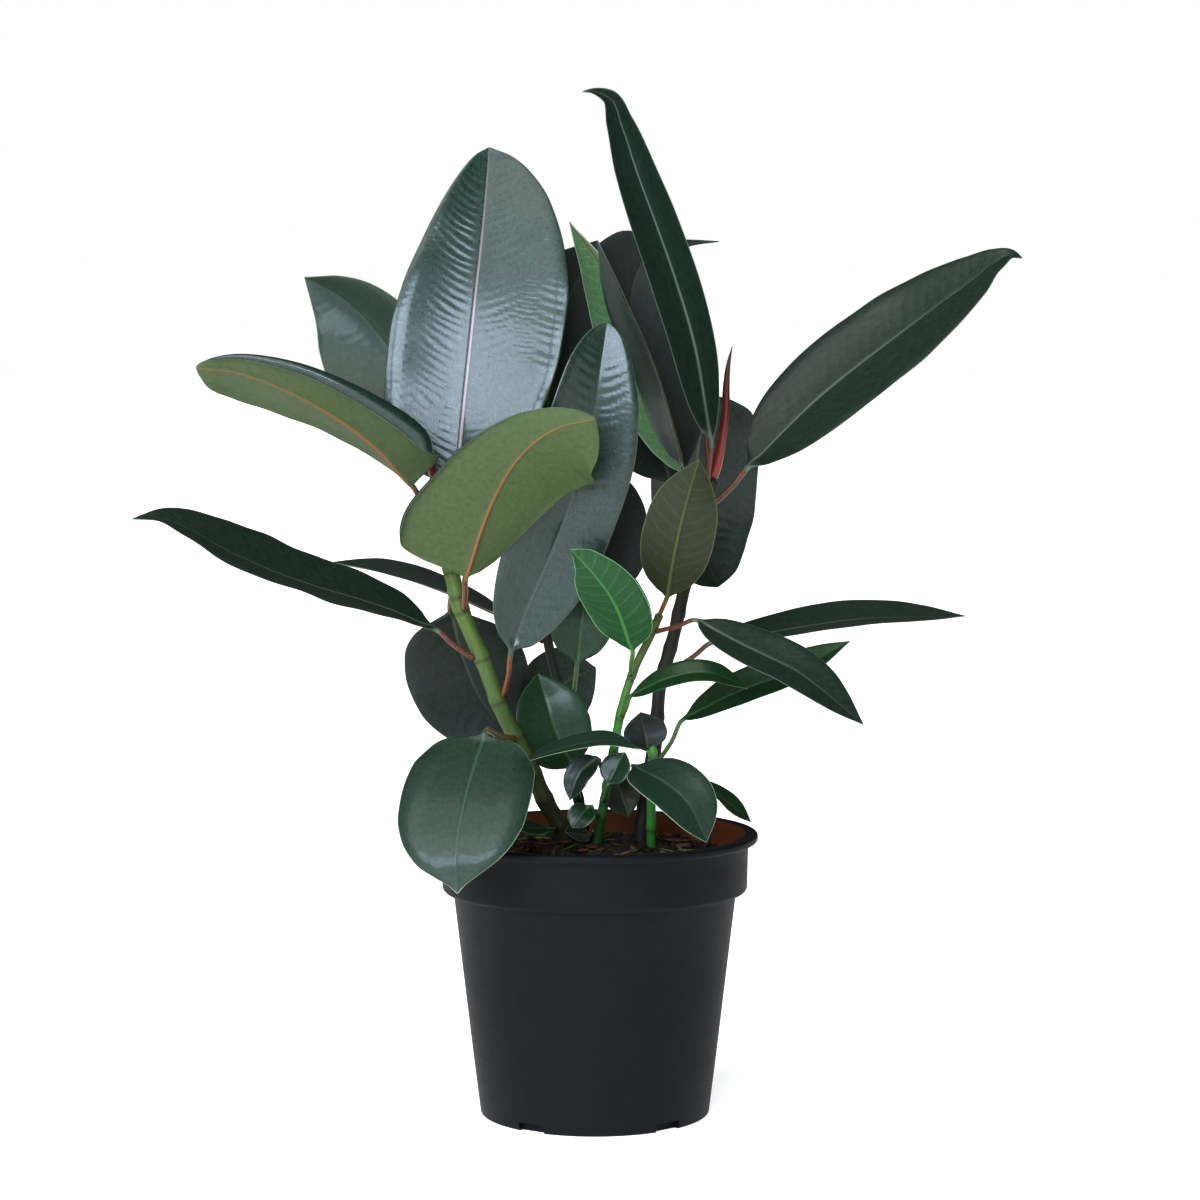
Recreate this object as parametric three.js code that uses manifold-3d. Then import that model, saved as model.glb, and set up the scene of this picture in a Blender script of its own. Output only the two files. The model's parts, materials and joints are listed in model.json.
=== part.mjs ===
// A potted rubber plant (Ficus elastica, dark form): a moulded nursery pot, its soil, five stems,
// two bud sheaths and thirty-six leaves. Millimetres, +Z up. The origin is the middle of the pot's
// flat foot, so the plant stands on Z = 0, and the front of the plant faces -Y.
import * as THREE from "three";
import * as BufferGeometryUtils from "three/addons/utils/BufferGeometryUtils.js";
import Module from "manifold-3d";

const wasm = await Module();
wasm.setup();

// ---------------------------------------------------------------- driving dimensions: the pot
const potHeight = 165;
const lipDiameter = 190;
const lipHeight = 5;
const collarDiameter = 179;
const collarHeight = 34;
const wallTopDiameter = 165;
const footDiameter = 134;
const wallThickness = 2;
const edgeRound = 1.5;
const footRingWidth = 5;
const drainChannelHeight = 5;
const drainChannelWidth = 15;
const drainHoleDiameter = 10;
const drainHoleCount = 10;
const footNotchWidth = 17;
const footNotchCount = 5;
const firstNotchBearing = 39; // degrees from the front, towards +X
const potSegments = 48;

// ---------------------------------------------------------------- driving dimensions: the soil
const soilBelowLip = 9; // at the stems
const soilFall = 6; // from the stems down to the pot wall
const rootedDepth = 22; // how far a stem goes down into the soil

// ---------------------------------------------------------------- driving dimensions: the plant
const plantScale = 1; // multiplies stem routes, leaf sizes and leaf places alike
const rimLeafReach = 95; // the lip radius that the ribs of the leaves over the rim are given for
const leafThickness = 1.2;
const midribDepth = 1;
const fitGap = 0.3; // between pieces that touch
const petioleBase = 0.9; // petiole radius of a leaf of no width
const petioleShare = 1 / 90; // what each millimetre of blade width adds to it
const socketGap = 0.3;
const sheathRadius = 2.6;

const soilTop = potHeight - soilBelowLip;
const lipRadius = lipDiameter / 2;

// Leaf blade outlines: [distance along the midrib, half width], as shares of length and width.
const POINTED = [
  [0.05, 0.36], [0.13, 0.68], [0.26, 0.91], [0.42, 1], [0.58, 0.97],
  [0.72, 0.83], [0.84, 0.57], [0.92, 0.31], [0.97, 0.12],
];
const BLUNT = [
  [0.04, 0.38], [0.12, 0.7], [0.25, 0.92], [0.42, 1], [0.6, 0.99],
  [0.75, 0.88], [0.87, 0.68], [0.95, 0.42], [0.985, 0.2],
];
const BROAD = [
  [0.03, 0.5], [0.09, 0.8], [0.2, 0.96], [0.4, 1], [0.6, 0.97],
  [0.75, 0.86], [0.87, 0.66], [0.95, 0.42], [0.985, 0.2],
];
const OVAL = [
  [0.05, 0.42], [0.13, 0.74], [0.26, 0.93], [0.42, 1], [0.56, 0.97],
  [0.7, 0.84], [0.84, 0.62], [0.92, 0.42], [0.975, 0.21],
];
const DRIPPED = [
  [0.04, 0.42], [0.12, 0.74], [0.25, 0.95], [0.42, 1], [0.58, 0.98],
  [0.72, 0.86], [0.84, 0.62], [0.91, 0.34], [0.96, 0.12],
];
const TAILED = [
  [0.04, 0.36], [0.11, 0.66], [0.22, 0.9], [0.38, 1], [0.54, 0.99],
  [0.66, 0.9], [0.75, 0.62], [0.81, 0.22], [0.9, 0.06],
];

const COLOURS = {
  pot: 0x2b2c30,
  soil: 0x2c241d,
  greenStem: 0x4a5a2c,
  darkStem: 0x23251d,
  brightStem: 0x2f6b2c,
  sheath: 0x6b1f1c,
  darkLeaf: 0x2c3f3a,
  youngLeaf: 0x2f6a34,
};

// ---------------------------------------------------------------- the planting plan
// Each stem's route is given from the middle of the soil's top, and its points rise steadily. Each
// leaf leaves its stem at a height above the soil. Its rib lists, from that point, the base of the
// blade, the middle and the tip. Its face is the way that the upper side looks, and fold is how far
// each half is raised, in degrees. Its skew is how much wider its right half is than its left at
// the base and at the tip, as a share. Its outline is pointed unless another is named. A leaf over
// the rim keeps its middle and tip at their distance from the lip.
const PLANT = [
  {
    name: "stem_left", colour: COLOURS.greenStem, radius: 5.2, topRadius: 4.4,
    route: [[-15, 12, 0], [-29, 8, 26], [-41, 4, 54], [-54, 0, 80], [-65, -4, 110],
      [-77, -8, 139], [-84, -9, 168], [-90, -8, 203]],
    sheath: [[-1, 0, 6], [-5, 0, 22], [-11, 0, 36], [-20, 2, 51]],
    leaves: [
      { name: "leaf_left_1", height: 201, width: 102, face: [-0.1, -1, 0.2], fold: 8,
        skew: [-0.1, 0.3],
        outline: OVAL, rib: [[9, 12, 7], [14, 16, 59], [20, 24, 117], [25, 34, 166], [28, 44, 206]] },
      { name: "leaf_left_2", height: 192, width: 84, face: [0.1, -0.75, -0.6], fold: 28,
        rib: [[-3, 36, 36], [-20, 54, 74], [-39, 66, 104], [-61, 74, 126], [-85, 78, 140]] },
      { name: "leaf_left_3", height: 187, width: 60, face: [0.3, 0.62, 0.7], fold: 10,
        skew: [-0.7, 0.4],
        outline: BROAD,
        rib: [[-17, -16, 25], [-42, -26, 52], [-78, -38, 76], [-112, -44, 90], [-136, -48, 93]] },
      { name: "leaf_left_4", height: 140, width: 74, face: [-0.2, 0.85, 0.35], fold: 8,
        skew: [0.55, -0.75],
        outline: BROAD,
        rib: [[4, -27, 21], [18, -43, 61], [35, -59, 90], [55, -69, 106], [78, -75, 112]] },
      { name: "leaf_left_5", height: 113, width: 62, face: [0.1, -0.35, 0.93], fold: 12,
        rib: [[-25, -14, 16], [-54, -24, 30], [-87, -36, 41], [-131, -48, 59], [-175, -56, 82],
          [-193, -58, 82]] },
      { name: "leaf_left_6", height: 150, width: 72, face: [-0.1, -1, 0.1], fold: 6,
        rib: [[-4, 16, -13], [2, 30, -40], [13, 36, -67], [32, 38, -91]] },
      { name: "leaf_left_7", height: 88, width: 58, face: [0.15, -1, 0.1], fold: 12,
        outline: BLUNT,
        rib: [[9, -17, 28], [20, -19, 58], [33, -22, 87], [53, -26, 145], [60, -26, 190],
          [64, -23, 217]] },
      { name: "leaf_left_8", height: 65, width: 75, face: [-0.2, -0.95, 0.35], fold: 6,
        overRim: true,
        outline: DRIPPED, rib: [[-16, -52, 7], [-25, -86, -21], [-30, -110, -51], [-29, -114, -74]] },
      { name: "leaf_left_9", height: 42, width: 26, face: [0, -0.3, 0.95], fold: 8,
        rib: [[-5, -24, 11], [21, -36, 21], [44, -42, 25], [61, -44, 20]] },
      { name: "leaf_left_10", height: 12, width: 14, face: [0, -0.7, 0.7], fold: 8,
        colour: COLOURS.youngLeaf,
        rib: [[-8, -14, 0], [-14, -24, 1], [-24, -34, 2]] },
    ],
  },
  {
    name: "stem_right", colour: COLOURS.darkStem, radius: 4.2, topRadius: 3.6,
    route: [[27, 25, 0], [30, 27, 30], [36, 30, 59], [38, 33, 88], [46, 37, 118],
      [52, 42, 144], [62, 48, 188], [70, 50, 213]],
    sheath: [[2, 0, 6], [7, -4, 36], [8, -6, 63], [11, -6, 78]],
    leaves: [
      { name: "leaf_right_1", height: 209, width: 46, face: [-0.1, -1, 0.1], fold: 52,
        rib: [[0, -12, 25], [-12, -26, 89], [-29, -30, 141], [-47, -28, 190], [-62, -20, 228],
          [-76, -16, 230]] },
      { name: "leaf_right_2", height: 197, width: 52, face: [-0.93, -0.3, 0.15], fold: 15,
        rib: [[-13, -15, 21], [-30, -25, 80], [-48, -31, 121], [-63, -35, 155]] },
      { name: "leaf_right_3", height: 188, width: 26, face: [0.2, 0.9, 0.1], fold: 12,
        skew: [0.6, 0.6],
        rib: [[-9, 8, 27], [-27, 4, 71], [-45, 1, 118], [-57, -2, 148], [-77, -6, 176]] },
      { name: "leaf_right_4", height: 199, width: 78, face: [0, -1, 0.1], fold: 10,
        outline: TAILED,
        rib: [[-20, 22, 10], [-34, 38, 54], [-42, 48, 96], [-40, 56, 137], [-24, 58, 151],
          [10, 60, 155]] },
      { name: "leaf_right_5", height: 211, width: 76, face: [0.4, -0.9, 0.1], fold: 18,
        outline: BROAD,
        rib: [[-2, 51, 51], [-7, 67, 3], [-5, 70, -38], [6, 66, -68]] },
      { name: "leaf_right_6", height: 197, width: 76, face: [-0.2, -0.55, 0.8], fold: 7,
        rib: [[26, 7, 22], [68, 14, 63], [118, 20, 102], [158, 18, 132], [181, 15, 148],
          [189, 14, 146]] },
      { name: "leaf_right_7", height: 101, width: 50, face: [0, -0.25, 0.97], fold: 10,
        rib: [[28, -5, 16], [70, -9, 24], [114, -15, 31], [175, -21, 33]] },
      { name: "leaf_right_8", height: 27, width: 16, face: [0, -0.5, 0.8], fold: 10,
        overRim: true,
        rib: [[32, 23, 4], [47, 31, -6], [64, 33, -21]] },
    ],
  },
  {
    name: "stem_slender", colour: COLOURS.brightStem, radius: 2.9, topRadius: 2.3,
    route: [[1, 0, 0], [8, -3, 40], [12, -5, 63], [16, -7, 84], [22, -9, 103],
      [31, -10, 122], [38, -10, 138]],
    leaves: [
      { name: "leaf_slender_1", height: 137, width: 42, face: [0.1, 0.95, 0.2], fold: 6,
        colour: COLOURS.youngLeaf,
        rib: [[4, -10, 11], [8, -20, 37], [14, -22, 63], [22, -16, 90]] },
      { name: "leaf_slender_2", height: 128, width: 36, face: [0.2, -0.6, 0.75], fold: 10,
        rib: [[25, -18, 7], [54, -36, -7], [82, -50, -20], [117, -60, -48]] },
      { name: "leaf_slender_3", height: 102, width: 40, face: [0.3, 0.8, 0.4], fold: 10,
        colour: COLOURS.youngLeaf,
        rib: [[0, -18, 16], [-11, -36, 46], [-25, -42, 65], [-35, -38, 75]] },
      { name: "leaf_slender_4", height: 78, width: 20, face: [0, -0.6, 0.8], fold: 10,
        colour: COLOURS.youngLeaf,
        rib: [[6, -8, 12], [29, -18, 24], [51, -22, 27], [73, -24, 18]] },
      { name: "leaf_slender_5", height: 56, width: 22, face: [0, -1, 0.2], fold: 10,
        colour: COLOURS.youngLeaf,
        rib: [[0, 12, -11], [4, 14, -24], [9, 14, -40]] },
      { name: "leaf_slender_6", height: 43, width: 16, face: [-0.3, -1, 0.2], fold: 14,
        rib: [[-7, -9, 11], [-17, -13, 3], [-23, -15, -13]] },
      { name: "leaf_slender_7", height: 28, width: 18, face: [-0.2, -0.9, 0.4], fold: 10,
        rib: [[2, -13, 11], [7, -12, 21], [12, -10, 29]] },
      { name: "leaf_slender_8", height: 19, width: 16, face: [-0.2, -0.9, 0.4], fold: 10,
        rib: [[-7, -13, 7], [-12, -17, 2], [-17, -19, -5]] },
    ],
  },
  {
    name: "stem_back", colour: COLOURS.darkStem, radius: 3.2, topRadius: 2.6,
    route: [[-6, 34, 0], [-14, 38, 46], [-21, 44, 87], [-27, 46, 111], [-30, 48, 135],
      [-26, 54, 176], [-18, 60, 211]],
    leaves: [
      { name: "leaf_back_1", height: 205, width: 75, face: [0, -1, 0.1], fold: 8,
        rib: [[-5, 11, 23], [-9, 17, 65], [2, 21, 110], [21, 25, 149]] },
      { name: "leaf_back_2", height: 141, width: 56, face: [0.2, -1, 0.1], fold: 8,
        rib: [[38, 1, 1], [34, 5, 41], [31, 9, 85]] },
      { name: "leaf_back_3", height: 117, width: 60, face: [0, -0.12, 1], fold: 8,
        rib: [[-24, -12, 15], [-58, -16, 30], [-93, -22, 42], [-125, -26, 48]] },
      { name: "leaf_back_4", height: 67, width: 38, face: [0.1, -1, 0.1], fold: 8,
        colour: COLOURS.youngLeaf,
        rib: [[7, -19, 39], [10, -23, 65], [14, -21, 82], [20, -15, 99]] },
      { name: "leaf_back_5", height: 61, width: 46, face: [0.1, -1, 0.2], fold: 8,
        rib: [[-18, 22, 11], [-4, 32, 26], [17, 40, 36]] },
      { name: "leaf_back_6", height: 23, width: 44, face: [0.2, -1, 0.1], fold: 8,
        colour: COLOURS.youngLeaf,
        rib: [[-3, -16, 21], [-13, -18, 42], [-19, -16, 60], [-24, -10, 76]] },
      { name: "leaf_back_7", height: 5, width: 14, face: [0, -0.7, 0.7], fold: 8,
        rib: [[3, -23, 0], [-3, -29, 2], [-11, -35, 4]] },
    ],
  },
  {
    name: "shoot_front", colour: COLOURS.brightStem, radius: 3.2, topRadius: 2.4,
    route: [[33, 8, 0], [33, 6, 27], [34, 5, 59]],
    leaves: [
      { name: "leaf_shoot_1", height: 55, width: 26, face: [0, -1, 0.1], fold: 8,
        rib: [[-3, 9, 0], [-4, 13, 8], [-7, 13, 22]] },
      { name: "leaf_shoot_2", height: 49, width: 34, face: [0, -0.5, 0.85], fold: 10,
        rib: [[18, -5, 26], [47, -13, 42], [82, -19, 56], [113, -23, 73]] },
      { name: "leaf_shoot_3", height: 41, width: 40, face: [0.2, -0.7, 0.7], fold: 10,
        rib: [[-11, -26, 9], [5, -43, 3], [20, -56, -9], [30, -62, -30]] },
    ],
  },
];

// ---------------------------------------------------------------- geometry helpers
const vec = ([x, y, z]) => new THREE.Vector3(x, y, z);
const degrees = THREE.MathUtils.degToRad;

/** A closed body lofted through rings of equal count, each end closed by a fan to a point. */
function closedLoft(rings, firstPoint, lastPoint) {
  const sides = rings[0].length;
  const positions = [firstPoint, ...rings.flat(), lastPoint].flatMap((p) => [p.x, p.y, p.z]);
  const last = rings.length * sides + 1;
  const at = (ring, side) => 1 + ring * sides + (side % sides);
  const index = [];
  for (let side = 0; side < sides; side += 1) {
    index.push(0, at(0, side + 1), at(0, side));
    index.push(last, at(rings.length - 1, side), at(rings.length - 1, side + 1));
    for (let ring = 0; ring + 1 < rings.length; ring += 1) {
      index.push(at(ring, side), at(ring, side + 1), at(ring + 1, side + 1));
      index.push(at(ring, side), at(ring + 1, side + 1), at(ring + 1, side));
    }
  }
  const geometry = new THREE.BufferGeometry();
  geometry.setAttribute("position", new THREE.Float32BufferAttribute(positions, 3));
  geometry.setIndex(signedVolume(positions, index) < 0 ? index.reverse() : index);
  geometry.computeVertexNormals();
  return geometry;
}

/** The volume that the triangles enclose, negative where they face inwards. */
function signedVolume(positions, index) {
  const corner = (i) => new THREE.Vector3().fromArray(positions, 3 * index[i]);
  let volume = 0;
  for (let i = 0; i < index.length; i += 3) {
    volume += corner(i).dot(corner(i + 1).cross(corner(i + 2))) / 6;
  }
  return volume;
}

/** A ring of eight points round centre: side is the first point's direction, up the third's. */
function roundRing(centre, side, up, radius) {
  const ring = [];
  for (let k = 0; k < 8; k += 1) {
    const angle = (k * Math.PI) / 4;
    const outward = side.clone().multiplyScalar(Math.cos(angle));
    outward.addScaledVector(up, Math.sin(angle));
    ring.push(centre.clone().addScaledVector(outward, radius));
  }
  return ring;
}

/** up made square to along, at unit length. */
function squareTo(along, up) {
  return up.clone().addScaledVector(along, -up.dot(along)).normalize();
}

/** Rings round a path, with a radius for each place on it. */
function tubeRings(curve, radii, front) {
  return radii.map(([place, radius]) => {
    const along = curve.getTangentAt(place);
    const up = squareTo(along, front);
    return roundRing(curve.getPointAt(place), along.clone().cross(up), up, radius);
  });
}

// ---------------------------------------------------------------- booleans
function toSolid(geometry) {
  const bare = geometry.clone();
  bare.deleteAttribute("normal");
  bare.deleteAttribute("uv");
  const merged = BufferGeometryUtils.mergeVertices(bare, 1e-4);
  return new wasm.Manifold(new wasm.Mesh({
    numProp: 3,
    vertProperties: new Float32Array(merged.attributes.position.array),
    triVerts: new Uint32Array(merged.index.array),
  }));
}

function toGeometry(solid) {
  const mesh = solid.getMesh();
  const geometry = new THREE.BufferGeometry();
  geometry.setAttribute("position", new THREE.BufferAttribute(mesh.vertProperties, 3));
  geometry.setIndex(new THREE.BufferAttribute(mesh.triVerts, 1));
  geometry.computeVertexNormals();
  return geometry;
}

/** A solid turned about Z from its half section, given as [radius, height] points. */
function turned(profile, segments) {
  const geometry = new THREE.LatheGeometry(profile.map(([r, z]) => new THREE.Vector2(r, z)), segments);
  return geometry.rotateX(Math.PI / 2);
}

// ---------------------------------------------------------------- the pot
const footRadius = footDiameter / 2;
const collarBottom = potHeight - collarHeight;
const channelOuter = footRadius - footRingWidth;
const channelInner = channelOuter - drainChannelWidth;
const wallSlope = (wallTopDiameter / 2 - footRadius) / collarBottom;

/** The outer wall's radius at a height below the collar. */
function wallRadius(height) {
  return footRadius + wallSlope * height;
}

const innerCollarRadius = collarDiameter / 2 - wallThickness;
const floorTop = drainChannelHeight + wallThickness;

/** The inside of the pot, from the floor's middle up to the lip, moved inwards by a gap. */
function insideProfile(gap, top) {
  return [
    [0, wallThickness + gap],
    [channelInner - wallThickness - drainChannelHeight / 2, wallThickness + gap],
    [channelInner - wallThickness, floorTop + gap],
    [wallRadius(floorTop) - wallThickness - gap, floorTop + gap],
    [wallRadius(collarBottom) - wallThickness - gap, collarBottom + wallThickness / 2 + gap],
    [innerCollarRadius - gap, collarBottom + 2 * wallThickness + gap],
    [innerCollarRadius - gap, top],
  ];
}

function makePot() {
  const outside = [
    [0, 0],
    [channelInner - drainChannelHeight / 2, 0],
    [channelInner, drainChannelHeight],
    [channelOuter, drainChannelHeight],
    [channelOuter, 0],
    [footRadius - edgeRound, 0],
    [wallRadius(edgeRound), edgeRound],
    [wallRadius(collarBottom), collarBottom],
    [collarDiameter / 2 - edgeRound, collarBottom],
    [collarDiameter / 2, collarBottom + 2 * edgeRound],
    [collarDiameter / 2 + 0.5, potHeight - lipHeight - 0.5],
    [lipRadius - edgeRound, potHeight - lipHeight],
    [lipRadius, potHeight - lipHeight + edgeRound],
    [lipRadius, potHeight - edgeRound],
    [lipRadius - edgeRound, potHeight],
    [innerCollarRadius + edgeRound / 2, potHeight],
  ];
  const profile = [...outside, ...insideProfile(0, potHeight - edgeRound / 2).reverse()];
  let pot = toSolid(turned(profile, potSegments));
  for (let i = 0; i < footNotchCount; i += 1) {
    const notch = new THREE.BoxGeometry(footNotchWidth, 4 * footRingWidth, 2 * drainChannelHeight);
    notch.translate(0, -footRadius, 0);
    notch.rotateZ(degrees(firstNotchBearing + (360 / footNotchCount) * i));
    pot = pot.subtract(toSolid(notch));
  }
  const holeRadius = drainHoleDiameter / 2;
  for (let i = 0; i < drainHoleCount; i += 1) {
    const hole = new THREE.CylinderGeometry(holeRadius, holeRadius, 6 * wallThickness, 12);
    hole.rotateX(Math.PI / 2);
    hole.translate(0, -(channelInner + channelOuter) / 2, floorTop);
    hole.rotateZ(degrees(firstNotchBearing + (360 / drainHoleCount) * i));
    pot = pot.subtract(toSolid(hole));
  }
  return toGeometry(pot);
}

// ---------------------------------------------------------------- stems
/** A stem's curve: straight down through the soil, then along its route. */
function stemCurve(stem) {
  const points = stem.route.map(([x, y, z]) => vec([x, y, z]).multiplyScalar(plantScale));
  const foot = points[0];
  const rooted = [rootedDepth, rootedDepth / 2].map((d) => new THREE.Vector3(foot.x, foot.y, -d));
  const lifted = [...rooted, ...points].map((p) => p.setZ(p.z + soilTop));
  return new THREE.CatmullRomCurve3(lifted, false, "centripetal");
}

/** A stem's rings, thickened by extra all round. */
function stemRings(stem, extra) {
  const curve = stemCurve(stem);
  const steps = Math.max(4, Math.round(curve.getLength() / 16));
  const radii = [];
  for (let i = 0; i <= steps; i += 1) {
    const place = i / steps;
    radii.push([place, THREE.MathUtils.lerp(stem.radius, stem.topRadius, place) + extra]);
  }
  return tubeRings(curve, radii, new THREE.Vector3(0, -1, 0));
}

function stemGeometry(stem) {
  const curve = stemCurve(stem);
  return closedLoft(stemRings(stem, 0), curve.getPointAt(0), curve.getPointAt(1));
}

/** The room that a stem takes in the soil, open to the air above. */
function stemSocket(stem) {
  const curve = stemCurve(stem);
  const bottom = curve.getPointAt(0).setZ(soilTop - rootedDepth * 1.05);
  return closedLoft(stemRings(stem, socketGap), bottom, curve.getPointAt(1));
}

/** Where a stem passes a height above the soil: the place, the direction and the radius there. */
function stemAt(stem, height) {
  const curve = stemCurve(stem);
  let low = 0;
  let high = 1;
  for (let i = 0; i < 30; i += 1) {
    const middle = (low + high) / 2;
    if (curve.getPointAt(middle).z < soilTop + height * plantScale) {
      low = middle;
    } else {
      high = middle;
    }
  }
  const radius = THREE.MathUtils.lerp(stem.radius, stem.topRadius, low);
  return { point: curve.getPointAt(low), along: curve.getTangentAt(low), radius };
}

// ---------------------------------------------------------------- leaves
/** Moves a point away from the pot's axis by as much as the lip is wider than rimLeafReach. */
function moveWithLip(point) {
  const outward = new THREE.Vector3(point.x, point.y, 0).normalize();
  point.addScaledVector(outward, lipRadius - rimLeafReach);
}

/** A leaf's curves, from the stem's skin to the tip of the blade. */
function leafCurves(stem, leaf) {
  const joint = stemAt(stem, leaf.height);
  const ribs = leaf.rib.map((p) => vec(p).multiplyScalar(plantScale).add(joint.point));
  if (leaf.overRim) {
    ribs.slice(1).forEach(moveWithLip);
  }
  const outward = squareTo(joint.along, ribs[0].clone().sub(joint.point));
  const start = joint.point.clone().addScaledVector(outward, joint.radius + fitGap);
  const lead = start.clone().addScaledVector(outward, 2);
  lead.lerp(ribs[0], 0.12);
  const beyond = ribs[0].clone().lerp(ribs[1], 0.12);
  const petiole = new THREE.CatmullRomCurve3([start, lead, ribs[0], beyond], false, "centripetal");
  const blade = new THREE.CatmullRomCurve3(ribs, false, "centripetal");
  return { petiole, blade, outward };
}

/** One ring across the blade: edge, top, midrib, top, edge, then back along the underside. */
function bladeRing(centre, along, up, halfWidth, skew, fold, thickness) {
  const side = along.clone().cross(up);
  const place = (across, above) => {
    const reach = Math.abs(across) * halfWidth * (1 + Math.sign(across) * skew);
    const point = centre.clone().addScaledVector(side, Math.sign(across) * reach * Math.cos(fold));
    return point.addScaledVector(up, reach * Math.sin(fold) + above);
  };
  const half = thickness / 2;
  const under = -half - midribDepth * Math.min(1, halfWidth / 12);
  return [
    place(1, 0), place(0.5, half), place(0, half), place(-0.5, half),
    place(-1, 0), place(-0.5, -half), place(0, under), place(0.5, -half),
  ];
}

function leafGeometry(stem, leaf) {
  const { petiole, blade, outward } = leafCurves(stem, leaf);
  const width = leaf.width * plantScale;
  const petioleRadius = petioleBase + width * petioleShare;
  const face = vec(leaf.face).normalize();
  const fold = degrees(leaf.fold);
  const [baseSkew, tipSkew] = leaf.skew ?? [0, 0];
  const baseUp = squareTo(blade.getTangentAt(0), face);
  const rings = [];
  for (const [place, share] of [[0, 0], [0.5, 0.6], [1, 1]]) {
    const along = place === 0 ? outward : petiole.getTangentAt(place * 0.9);
    const up = squareTo(along, baseUp.clone().lerp(new THREE.Vector3(0, 0, 1), 1 - share));
    const centre = place === 1 ? blade.getPointAt(0) : petiole.getPointAt(place * 0.9);
    rings.push(roundRing(centre, along.clone().cross(up), up, petioleRadius));
  }
  for (const [place, share] of leaf.outline ?? POINTED) {
    const along = blade.getTangentAt(place);
    const up = squareTo(along, face);
    const halfWidth = (width / 2) * share;
    const skew = THREE.MathUtils.lerp(baseSkew, tipSkew, place);
    rings.push(bladeRing(blade.getPointAt(place), along, up, halfWidth, skew, fold, leafThickness));
  }
  return closedLoft(rings, petiole.getPointAt(0), blade.getPointAt(1));
}

// ---------------------------------------------------------------- bud sheaths
/** A rolled sheath that stands on the end of its stem. */
function sheathGeometry(stem) {
  const end = stemAt(stem, stem.route.at(-1)[2]);
  const foot = end.point.clone().addScaledVector(end.along, fitGap);
  const points = stem.sheath.map((p) => vec(p).multiplyScalar(plantScale).add(end.point));
  const curve = new THREE.CatmullRomCurve3([foot, ...points], false, "centripetal");
  const radii = [
    [0, stem.topRadius * 0.8], [0.12, sheathRadius * 1.15], [0.3, sheathRadius],
    [0.5, sheathRadius * 0.95], [0.7, sheathRadius * 0.8], [0.88, sheathRadius * 0.45],
  ];
  const rings = tubeRings(curve, radii, new THREE.Vector3(0, -1, 0));
  const up = squareTo(end.along, new THREE.Vector3(0, -1, 0));
  rings[0] = roundRing(foot, end.along.clone().cross(up), up, radii[0][1]);
  return closedLoft(rings, foot, curve.getPointAt(1));
}

// ---------------------------------------------------------------- the soil
function makeSoil() {
  const wallTop = soilTop - soilFall;
  const crown = [
    [innerCollarRadius * 0.75, soilTop - soilFall * 0.45],
    [innerCollarRadius * 0.5, soilTop - soilFall * 0.12],
    [0, soilTop],
  ];
  const profile = [...insideProfile(fitGap, wallTop), ...crown];
  let soil = toSolid(turned(profile, potSegments));
  for (const stem of PLANT) {
    soil = soil.subtract(toSolid(stemSocket(stem)));
  }
  return toGeometry(soil);
}

// ---------------------------------------------------------------- assembly
const plant = new THREE.Group();

function addPiece(name, geometry, color, roughness) {
  const material = new THREE.MeshStandardMaterial({ color, roughness, metalness: 0 });
  const mesh = new THREE.Mesh(geometry, material);
  mesh.name = name;
  plant.add(mesh);
}

addPiece("pot", makePot(), COLOURS.pot, 0.6);
addPiece("soil", makeSoil(), COLOURS.soil, 0.95);
for (const stem of PLANT) {
  addPiece(stem.name, stemGeometry(stem), stem.colour, 0.6);
  if (stem.sheath) {
    addPiece(stem.name.replace("stem", "bud_sheath"), sheathGeometry(stem), COLOURS.sheath, 0.35);
  }
  for (const leaf of stem.leaves) {
    addPiece(leaf.name, leafGeometry(stem, leaf), leaf.colour ?? COLOURS.darkLeaf, 0.35);
  }
}

export default plant;
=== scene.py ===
"""Looks of the potted rubber plant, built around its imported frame. Metres, +Z up, front towards -Y."""
import json
import logging
import math
from collections import deque
from dataclasses import dataclass, field
from enum import Enum
from typing import Any

import bmesh
import bpy
import numpy as np
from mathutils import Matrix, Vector


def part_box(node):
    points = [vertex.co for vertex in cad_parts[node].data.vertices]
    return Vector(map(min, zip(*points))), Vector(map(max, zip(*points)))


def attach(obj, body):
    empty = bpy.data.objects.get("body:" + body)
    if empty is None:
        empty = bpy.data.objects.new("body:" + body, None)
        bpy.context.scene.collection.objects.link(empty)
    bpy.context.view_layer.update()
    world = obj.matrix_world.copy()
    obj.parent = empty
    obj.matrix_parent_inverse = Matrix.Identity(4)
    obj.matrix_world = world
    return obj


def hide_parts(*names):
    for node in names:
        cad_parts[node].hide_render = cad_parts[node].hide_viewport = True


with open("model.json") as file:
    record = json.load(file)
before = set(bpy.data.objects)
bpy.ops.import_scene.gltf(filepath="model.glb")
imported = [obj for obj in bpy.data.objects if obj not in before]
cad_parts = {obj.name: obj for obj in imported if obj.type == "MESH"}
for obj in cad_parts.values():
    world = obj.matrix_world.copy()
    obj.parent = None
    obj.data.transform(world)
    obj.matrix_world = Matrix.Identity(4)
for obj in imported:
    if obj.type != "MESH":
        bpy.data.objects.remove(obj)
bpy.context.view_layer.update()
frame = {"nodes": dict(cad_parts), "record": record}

LOG = logging.getLogger("rubber_plant")
MM = 0.001
BODY = "root"
WELD = 1e-5


# ------------------------------------------------------------------ small tools


def linear(code: str) -> tuple[float, float, float, float]:
    """A colour for a socket.

    Args:
        code: an sRGB colour as six hex digits.

    Returns:
        The linear red, green, blue and alpha.
    """
    parts = [int(code[i:i + 2], 16) / 255 for i in (0, 2, 4)]
    red, green, blue = (c / 12.92 if c <= 0.04045 else ((c + 0.055) / 1.055) ** 2.4 for c in parts)
    return red, green, blue, 1.0


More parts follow.
